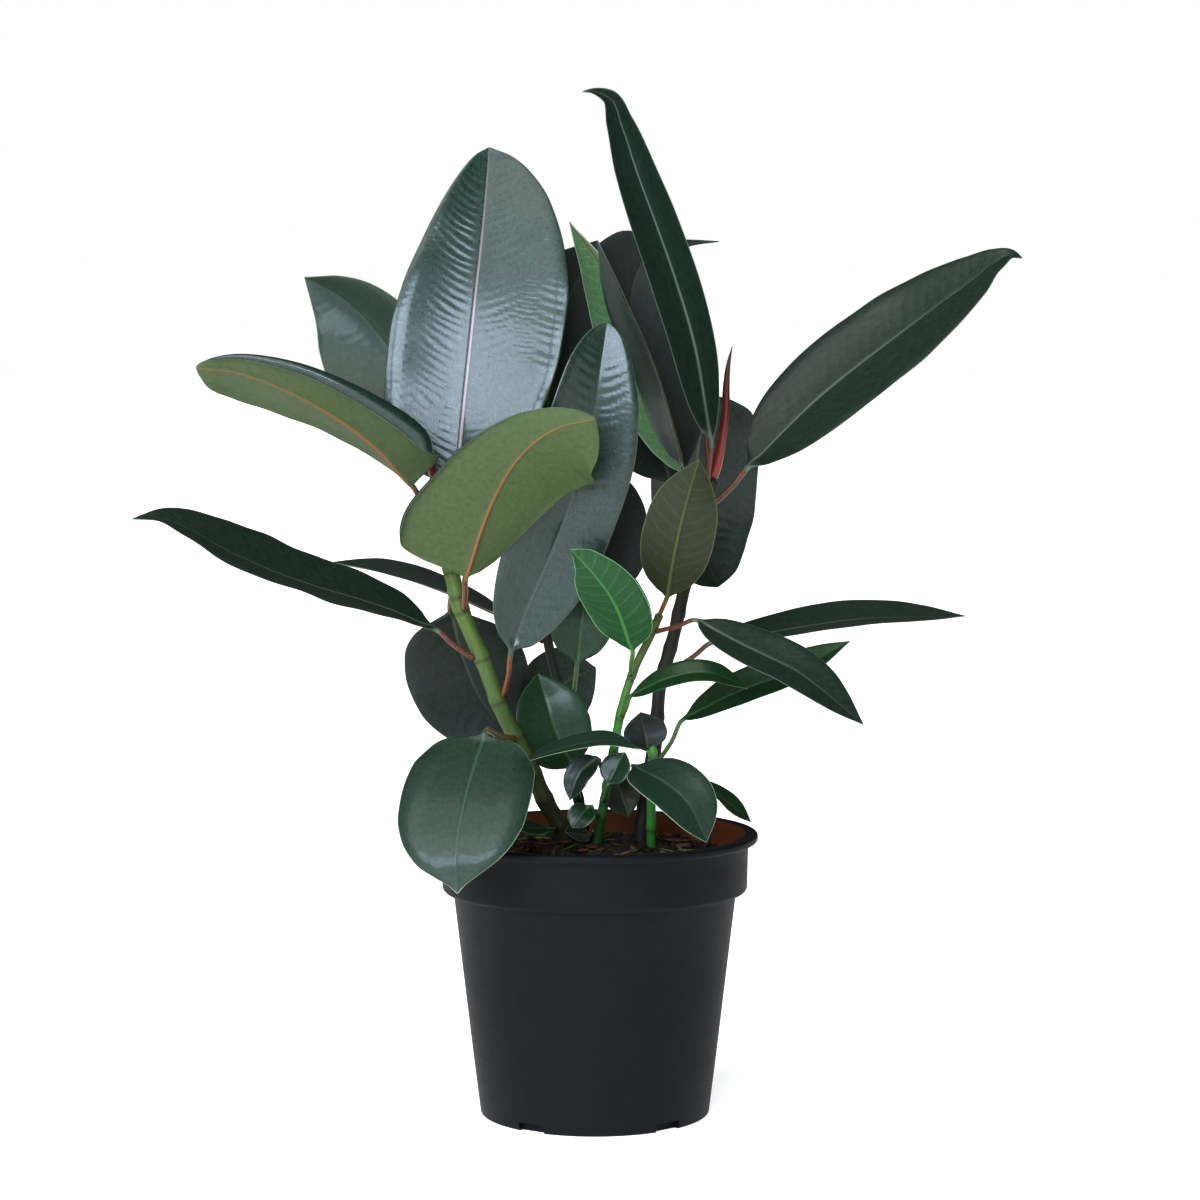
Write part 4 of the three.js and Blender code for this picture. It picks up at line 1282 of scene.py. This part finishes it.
@dataclass
class PottingMix:
    """The root ball: a crumbly uneven top inside the pot, on a plain body that fills it."""

    node: str = "soil"
    rings: int = 46
    segments: int = 150
    crumb: float = 1.6 * MM
    rng: np.random.Generator = field(default_factory=lambda: np.random.default_rng(11))

    def measure(self) -> None:
        """Reads the top's profile and the outer profile from the frame's soil."""
        low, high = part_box(self.node)
        self.low, self.high = low[2], high[2]
        self.radius = (high[0] - low[0]) / 2
        mesh = frame["nodes"][self.node].data
        points = np.array([vert.co[:] for vert in mesh.vertices])
        self.reach = np.hypot(points[:, 0], points[:, 1])
        self.heights = points[:, 2]

    def top(self, x: np.ndarray, y: np.ndarray) -> np.ndarray:
        """The height of the smooth top under a place."""
        share = np.hypot(x, y) / self.radius
        edge = self.heights[self.reach > self.radius - 1 * MM].max()
        return self.high + (edge - self.high) * share**2.4

    def build(self) -> bpy.types.Object:
        """Makes the root ball.

        Returns:
            One closed mesh with a crumbled top.
        """
        self.measure()
        share = np.linspace(0, 1, self.rings)[1:] ** 0.85
        angle = np.linspace(0, 2 * math.pi, self.segments, endpoint=False)
        reach = share[:, None] * self.radius
        x, y = reach * np.cos(angle), reach * np.sin(angle)
        waves = np.zeros_like(x)
        for _ in range(90):
            heading = self.rng.uniform(0, 2 * math.pi)
            length = self.rng.uniform(4, 22) * MM
            waves += np.sin((x * math.cos(heading) + y * math.sin(heading)) * 2 * math.pi / length
                            + self.rng.uniform(0, 6.3)) * (length / (22 * MM)) ** 0.5
        rough = waves / 6 + self.rng.normal(0, 0.35, x.shape)
        z = self.top(x, y) + self.crumb * rough * (1 - share[:, None] ** 12) - 0.6 * MM
        top_rows = np.stack([x, y, z], axis=-1).reshape(-1, 3)
        rim = self.heights[self.reach > self.radius - 1 * MM].max() - 1 * MM
        levels = sorted({round(float(h), 4) for h in self.heights if h < rim}, reverse=True)
        body = [(self.reach[np.abs(self.heights - h) < 1e-4].max() / self.radius, h) for h in levels]
        # the stems' sockets end inside the body, well short of its wall
        body = [(reach_share, h) for reach_share, h in body if reach_share > 0.6]
        sides = [[(s * self.radius * math.cos(a), s * self.radius * math.sin(a), h) for a in angle]
                 for s, h in body]
        points = np.vstack([top_rows] + [np.array(side) for side in sides]
                           + [[0, 0, self.top(np.zeros(1), np.zeros(1))[0] - 1 * MM], [0, 0, body[-1][1]]])
        faces: list[tuple[int, ...]] = []
        row_count = len(share) + len(body)
        for row in range(row_count - 1):
            for k in range(self.segments):
                after = (k + 1) % self.segments
                faces.append((row * self.segments + k, row * self.segments + after,
                              (row + 1) * self.segments + after, (row + 1) * self.segments + k))
        crown, foot = row_count * self.segments, row_count * self.segments + 1
        last = (row_count - 1) * self.segments
        for k in range(self.segments):
            after = (k + 1) % self.segments
            faces.append((crown, after, k))
            faces.append((foot, last + k, last + after))
        finish = LooseFinish("moist_peat_mix", "17120e", "3a2d22", 3.0)
        return mesh_piece("potting_mix_top", points, faces, [finish.material()])

    def places(self, count: int, clear_of: np.ndarray, reach: float) -> np.ndarray:
        """Seeded places on the top, clear of the stems.

        Args:
            count: how many places.
            clear_of: the stems' feet, one row each.
            reach: the largest distance from the axis.

        Returns:
            One row of x and y for each place.
        """
        found: list[np.ndarray] = []
        while len(found) < count:
            angle, share = self.rng.uniform(0, 2 * math.pi), math.sqrt(self.rng.uniform(0, 1))
            spot = np.array([math.cos(angle), math.sin(angle)]) * share * reach
            if np.linalg.norm(clear_of - spot, axis=1).min() > 7 * MM:
                found.append(spot)
        return np.array(found)


@dataclass
class Litter:
    """Small things scattered on the mix: bark chips, perlite-free crumbs, moss and dead leaf bits."""

    mix: PottingMix
    feet: np.ndarray
    chip_count: int = 190
    moss_count: int = 120
    scrap_count: int = 16
    rng: np.random.Generator = field(default_factory=lambda: np.random.default_rng(29))

    def chip(self, spot: np.ndarray, length: float, width: float, thick: float,
             lift: float) -> tuple[np.ndarray, list[tuple[int, ...]]]:
        """One broken chip: a box pulled out of true, with its corners knocked off.

        Args:
            spot: where it lies.
            length: its length.
            width: its width.
            thick: its thickness.
            lift: how far its middle is above the top.

        Returns:
            Its points and faces.
        """
        shape = bmesh.new()
        bmesh.ops.create_icosphere(shape, subdivisions=1, radius=1.0)
        points = np.array([vert.co[:] for vert in shape.verts])
        faces = [tuple(vert.index for vert in face.verts) for face in shape.faces]
        shape.free()
        points = np.sign(points) * np.abs(points) ** 0.6 * self.rng.uniform(0.75, 1.2, points.shape)
        points *= np.array([length, width, thick]) / 2
        turn, tip, bank = self.rng.uniform(0, 6.3), self.rng.normal(0, 0.35), self.rng.normal(0, 0.35)
        for angle, (a, b) in ((tip, (0, 2)), (bank, (1, 2)), (turn, (0, 1))):
            cos, sin = math.cos(angle), math.sin(angle)
            first, second = points[:, a].copy(), points[:, b].copy()
            points[:, a], points[:, b] = first * cos - second * sin, first * sin + second * cos
        ground = float(self.mix.top(np.array([spot[0]]), np.array([spot[1]]))[0])
        return points + np.array([spot[0], spot[1], ground + lift]), faces

    def gather(self, name: str, items: list[tuple[np.ndarray, list[tuple[int, ...]]]],
               materials: list[bpy.types.Material], slots: list[int]) -> bpy.types.Object:
        """Joins small shapes into one piece.

        Args:
            name: the piece's name.
            items: each shape's points and faces.
            materials: the piece's materials.
            slots: each shape's material.

        Returns:
            The joined piece.
        """
        points: list[np.ndarray] = []
        faces: list[tuple[int, ...]] = []
        face_slots: list[int] = []
        start = 0
        for (rows, shape_faces), slot in zip(items, slots):
            points.append(rows)
            faces += [tuple(start + i for i in face) for face in shape_faces]
            face_slots += [slot] * len(shape_faces)
            start += len(rows)
        return mesh_piece(name, np.vstack(points), faces, materials, np.array(face_slots))

    def chips(self) -> bpy.types.Object:
        """Bark chips and clods, 3 to 12 mm long."""
        spots = self.mix.places(self.chip_count, self.feet, self.mix.radius - 6 * MM)
        items, slots = [], []
        for spot in spots:
            length = self.rng.uniform(3, 12) * MM
            items.append(self.chip(spot, length, length * self.rng.uniform(0.35, 0.8),
                                   length * self.rng.uniform(0.18, 0.4), self.rng.uniform(0, 1.4) * MM))
            slots.append(int(self.rng.choice(3, p=[0.5, 0.33, 0.17])))
        materials = [
            LooseFinish("dark_pine_bark", "1c1410", "4a3324", 2.0).material(),
            LooseFinish("black_peat_clod", "0e0c0b", "272019", 1.5).material(),
            LooseFinish("grey_pine_bark", "3b3028", "6d5b49", 1.6).material(),
        ]
        return self.gather("bark_chips", items, materials, slots)

    def moss(self) -> bpy.types.Object:
        """Thin blades and threads of moss and dry grass, 5 to 14 mm long."""
        spots = self.mix.places(self.moss_count, self.feet, self.mix.radius - 8 * MM)
        items, slots = [], []
        for spot in spots:
            length = self.rng.uniform(5, 14) * MM
            items.append(self.chip(spot, length, self.rng.uniform(0.7, 1.8) * MM, 0.5 * MM,
                                   self.rng.uniform(0.8, 2.4) * MM))
            slots.append(int(self.rng.choice(2, p=[0.6, 0.4])))
        materials = [
            LooseFinish("living_moss", "3c4a14", "6d7a2c", 1.2).material(),
            LooseFinish("dry_moss", "5c4f22", "8f8143", 1.2).material(),
        ]
        return self.gather("moss_threads", items, materials, slots)

    def scraps(self) -> bpy.types.Object:
        """Curled bits of dead leaf, 8 to 18 mm long."""
        spots = self.mix.places(self.scrap_count, self.feet, self.mix.radius - 14 * MM)
        items = []
        for spot in spots:
            items.append(self.scrap(spot, self.rng.uniform(8, 18) * MM))
        materials = [
            LooseFinish("dead_fig_leaf", "4a2a17", "8a5a34", 2.5, 0.7).material(),
            LooseFinish("yellowed_fig_leaf", "6b6a24", "9a9a4a", 2.5, 0.6).material(),
        ]
        return self.gather("dead_leaf_scraps", items, materials, [i % 2 for i in range(len(items))])

    def scrap(self, spot: np.ndarray, length: float) -> tuple[np.ndarray, list[tuple[int, ...]]]:
        """One curled scrap with a real thickness.

        Args:
            spot: where it lies.
            length: its length.

        Returns:
            Its points and faces.
        """
        rows, columns, thick = 9, 6, 0.35 * MM
        s = np.linspace(-0.5, 0.5, rows)[:, None]
        t = np.linspace(-0.5, 0.5, columns)[None, :]
        width = length * self.rng.uniform(0.4, 0.6) * np.sqrt(np.clip(1 - (2 * s) ** 2, 0.03, 1))
        curl = self.rng.uniform(0.5, 1.4)
        x = s * length + 0 * t
        y = width * t
        z = curl * (y**2 / length * 1.6 + x**2 / length * 0.5)
        turn = self.rng.uniform(0, 6.3)
        ground = float(self.mix.top(np.array([spot[0]]), np.array([spot[1]]))[0]) + 1.6 * MM
        base = np.stack([
            spot[0] + x * math.cos(turn) - y * math.sin(turn),
            spot[1] + x * math.sin(turn) + y * math.cos(turn),
            ground + z,
        ], axis=-1).reshape(-1, 3)
        points = np.vstack([base, base - [0, 0, thick]])
        under = rows * columns
        faces = []
        for r in range(rows - 1):
            for c in range(columns - 1):
                quad = (r * columns + c, r * columns + c + 1,
                        (r + 1) * columns + c + 1, (r + 1) * columns + c)
                faces.append(quad)
                faces.append(tuple(under + i for i in quad[::-1]))
        rim = [c for c in range(columns)] + [r * columns + columns - 1 for r in range(1, rows)]
        rim += [(rows - 1) * columns + c for c in range(columns - 2, -1, -1)]
        rim += [r * columns for r in range(rows - 2, 0, -1)]
        for a, b in zip(rim, rim[1:] + rim[:1]):
            faces.append((a, under + a, under + b, b))
        return points, faces


# ------------------------------------------------------------------ shared materials


class MaterialShelf:
    """Makes each leaf tone's materials once and hands them out."""

    def __init__(self) -> None:
        """Starts with nothing made."""
        self.made: dict[Tone, list[bpy.types.Material]] = {}

    def leaf(self, tone: Tone) -> list[bpy.types.Material]:
        """The materials of a leaf of that tone, in the order of its slots."""
        if tone not in self.made:
            self.made[tone] = tone.value.materials()
        return self.made[tone]


MATERIALS = MaterialShelf()


# ------------------------------------------------------------------ the studio


@dataclass
class Studio:
    """A plain pale floor, soft daylight, two soft boxes and the camera.

    The soft boxes give the waxed leaves their bluish sheen. The floor glows a little so that it
    comes out white under a dark plant, and the contrast deepens the darks and leaves white as it is.
    """

    camera_distance: float = 1.971
    camera_height: float = 0.458
    camera_side: float = 0.003
    camera_tilt: float = 4.57
    lens: float = 102.3
    floor_reach: float = 30.0
    floor_glow: float = 0.8
    fill: float = 0.17
    daylight: float = 2.3
    daylight_spread: float = 55.0
    daylight_heading: tuple[float, float, float] = (0.45, 0.55, -0.9)
    aim_height: float = 0.33
    softbox_side: float = 0.65
    softbox_tint: str = "dcebff"
    contrast: float = 0.84

    def floor(self) -> None:
        """A pale matt floor that fades into the light."""
        material, tree = blank_material("pale_studio_floor")
        grain = add_node(tree, "TexNoise", {"Scale": 3.0, "Detail": 2.0})
        tint = add_node(tree, "Mix", {"Factor": grain.outputs[0], "A": linear("fafafa"),
                                      "B": linear("ffffff")},
                        data_type="RGBA")
        surface(tree, {"Base Color": tint, "Roughness": 0.9, "Specular IOR Level": 0.1,
                       "Emission Color": linear("ffffff"), "Emission Strength": self.floor_glow})
        reach = self.floor_reach
        corners = np.array([(-reach, -reach, 0), (reach, -reach, 0), (reach, reach, 0), (-reach, reach, 0)])
        floor = mesh_piece("studio_floor", corners, [(0, 1, 2, 3)], [material])
        floor.location.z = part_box("pot")[0][2] - 0.1 * MM

    def sky(self) -> None:
        """A surround that is seen as white and fills the shadows with less."""
        world = bpy.data.worlds.new("light_tent")
        world.use_nodes = True
        tree = world.node_tree
        tree.nodes.clear()
        seen = add_node(tree, "Background", {"Color": linear("ffffff"), "Strength": 1.0})
        fill = add_node(tree, "Background", {"Color": linear("fbfcff"), "Strength": self.fill})
        path = add_node(tree, "LightPath")
        both = add_node(tree, "MixShader", {0: path.outputs["Is Camera Ray"], 1: fill, 2: seen})
        add_node(tree, "OutputWorld", {"Surface": both})
        bpy.context.scene.world = world

    def sun(self) -> None:
        """Soft daylight from a wide window, from the upper left in front."""
        light = bpy.data.lights.new("window_light", "SUN")
        light.energy = self.daylight
        light.angle = math.radians(self.daylight_spread)
        light.color = linear("fffefb")[:3]
        lamp = bpy.data.objects.new("window_light", light)
        lamp.rotation_euler = Vector(self.daylight_heading).to_track_quat("-Z", "Y").to_euler()
        bpy.context.scene.collection.objects.link(lamp)

    def lamp(self, name: str, place: tuple[float, float, float], size: float, power: float,
             colour: str) -> None:
        """A square soft box that looks at the middle of the plant.

        Args:
            name: the lamp's name.
            place: where it stands.
            size: its side in metres.
            power: its power in watts.
            colour: its colour as hex.
        """
        light = bpy.data.lights.new(name, "AREA")
        light.shape = "SQUARE"
        light.size = size
        light.energy = power
        light.color = linear(colour)[:3]
        lamp = bpy.data.objects.new(name, light)
        lamp.location = place
        towards = Vector((0, 0, self.aim_height)) - Vector(place)
        lamp.rotation_euler = towards.to_track_quat("-Z", "Y").to_euler()
        bpy.context.scene.collection.objects.link(lamp)

    def camera(self) -> None:
        """The camera, in front of the plant and a little above its pot."""
        data = bpy.data.cameras.new("camera")
        data.lens = self.lens
        data.sensor_width = 36
        camera = bpy.data.objects.new("camera", data)
        camera.location = (self.camera_side, -self.camera_distance, self.camera_height)
        camera.rotation_euler = (math.radians(90 - self.camera_tilt), 0, 0)
        bpy.context.scene.collection.objects.link(camera)
        bpy.context.scene.camera = camera

    def build(self) -> None:
        """Sets up the whole studio."""
        self.camera()
        self.floor()
        self.sky()
        self.sun()
        self.lamp("front_softbox", (-0.3, -1.9, 0.86), self.softbox_side, 23.0, self.softbox_tint)
        self.lamp("side_softbox", (-1.05, -1.65, 0.86), self.softbox_side, 18.0, self.softbox_tint)
        view = bpy.context.scene.view_settings
        view.view_transform = "Standard"
        view.gamma = self.contrast


# ------------------------------------------------------------------ the whole plant

STEMS: dict[str, tuple[StemFinish, str, str]] = {
    "stem_left": (StemFinish("green_fig_bark", "3a3a20", "49602a", "5c7434"), "green_bark", "leaf_left_"),
    "stem_right": (StemFinish("dark_fig_bark", "1f1c16", "23261b", "2f3320", 0.6), "dark_bark",
                   "leaf_right_"),
    "stem_slender": (StemFinish("fresh_green_stem", "24521c", "2c7a26", "56662e", 0.4), "young_stem",
                     "leaf_slender_"),
    # painted shade: the back stem's bark is a darker copy of the dark bark, for the shade it stands in
    "stem_back": (StemFinish("painted_shade_fig_bark", "1b1a14", "20231a", "2a3020", 0.6), "dark_bark",
                  "leaf_back_"),
    "shoot_front": (StemFinish("fresh_shoot_skin", "2a5a22", "3c8a34", "5a9a48", 0.4), "young_stem",
                    "leaf_shoot_"),
}


def build_plant() -> None:
    """Builds every stem, sheath and leaf over its node of the frame."""
    slots = {part["node"]: part["material_slot"] for part in frame["record"]["subparts"]}
    leaf_names = [name for name in frame["nodes"] if name.startswith("leaf_")]
    for name, (finish, slot, prefix) in STEMS.items():
        own = [leaf for leaf in leaf_names if leaf.startswith(prefix)]
        settle(Stem(name, finish, slot, own).build(), slot, name)
    for name in sorted(n for n in frame["nodes"] if n.startswith("bud_sheath")):
        settle(BudSheath(name).build(), slots[name], name)
    for name in sorted(leaf_names):
        leaf = Leaf(name, LEAF_STYLES.get(name, LeafStyle()))
        settle(leaf.build(), slots[name], name)


def build_pot() -> None:
    """Builds the pot, the mix and what lies on it."""
    settle(NurseryPot().build(), "pot_shell", "pot")
    mix = PottingMix()
    settle(mix.build(), "potting_mix", "soil")
    feet = []
    for name in STEMS:
        ends = Loft.read(name).ends
        foot = ends[0] if ends[0][2] < ends[1][2] else ends[1]
        feet.append(foot[:2])
    litter = Litter(mix, np.array(feet))
    settle(litter.chips(), "potting_mix")
    settle(litter.moss(), "potting_mix")
    settle(litter.scraps(), "potting_mix")


def main() -> None:
    """Builds the studio, the pot and the plant."""
    logging.basicConfig(level=logging.INFO, format="%(name)s: %(message)s")
    Studio().build()
    build_pot()
    build_plant()


if __name__ == "__main__":
    main()
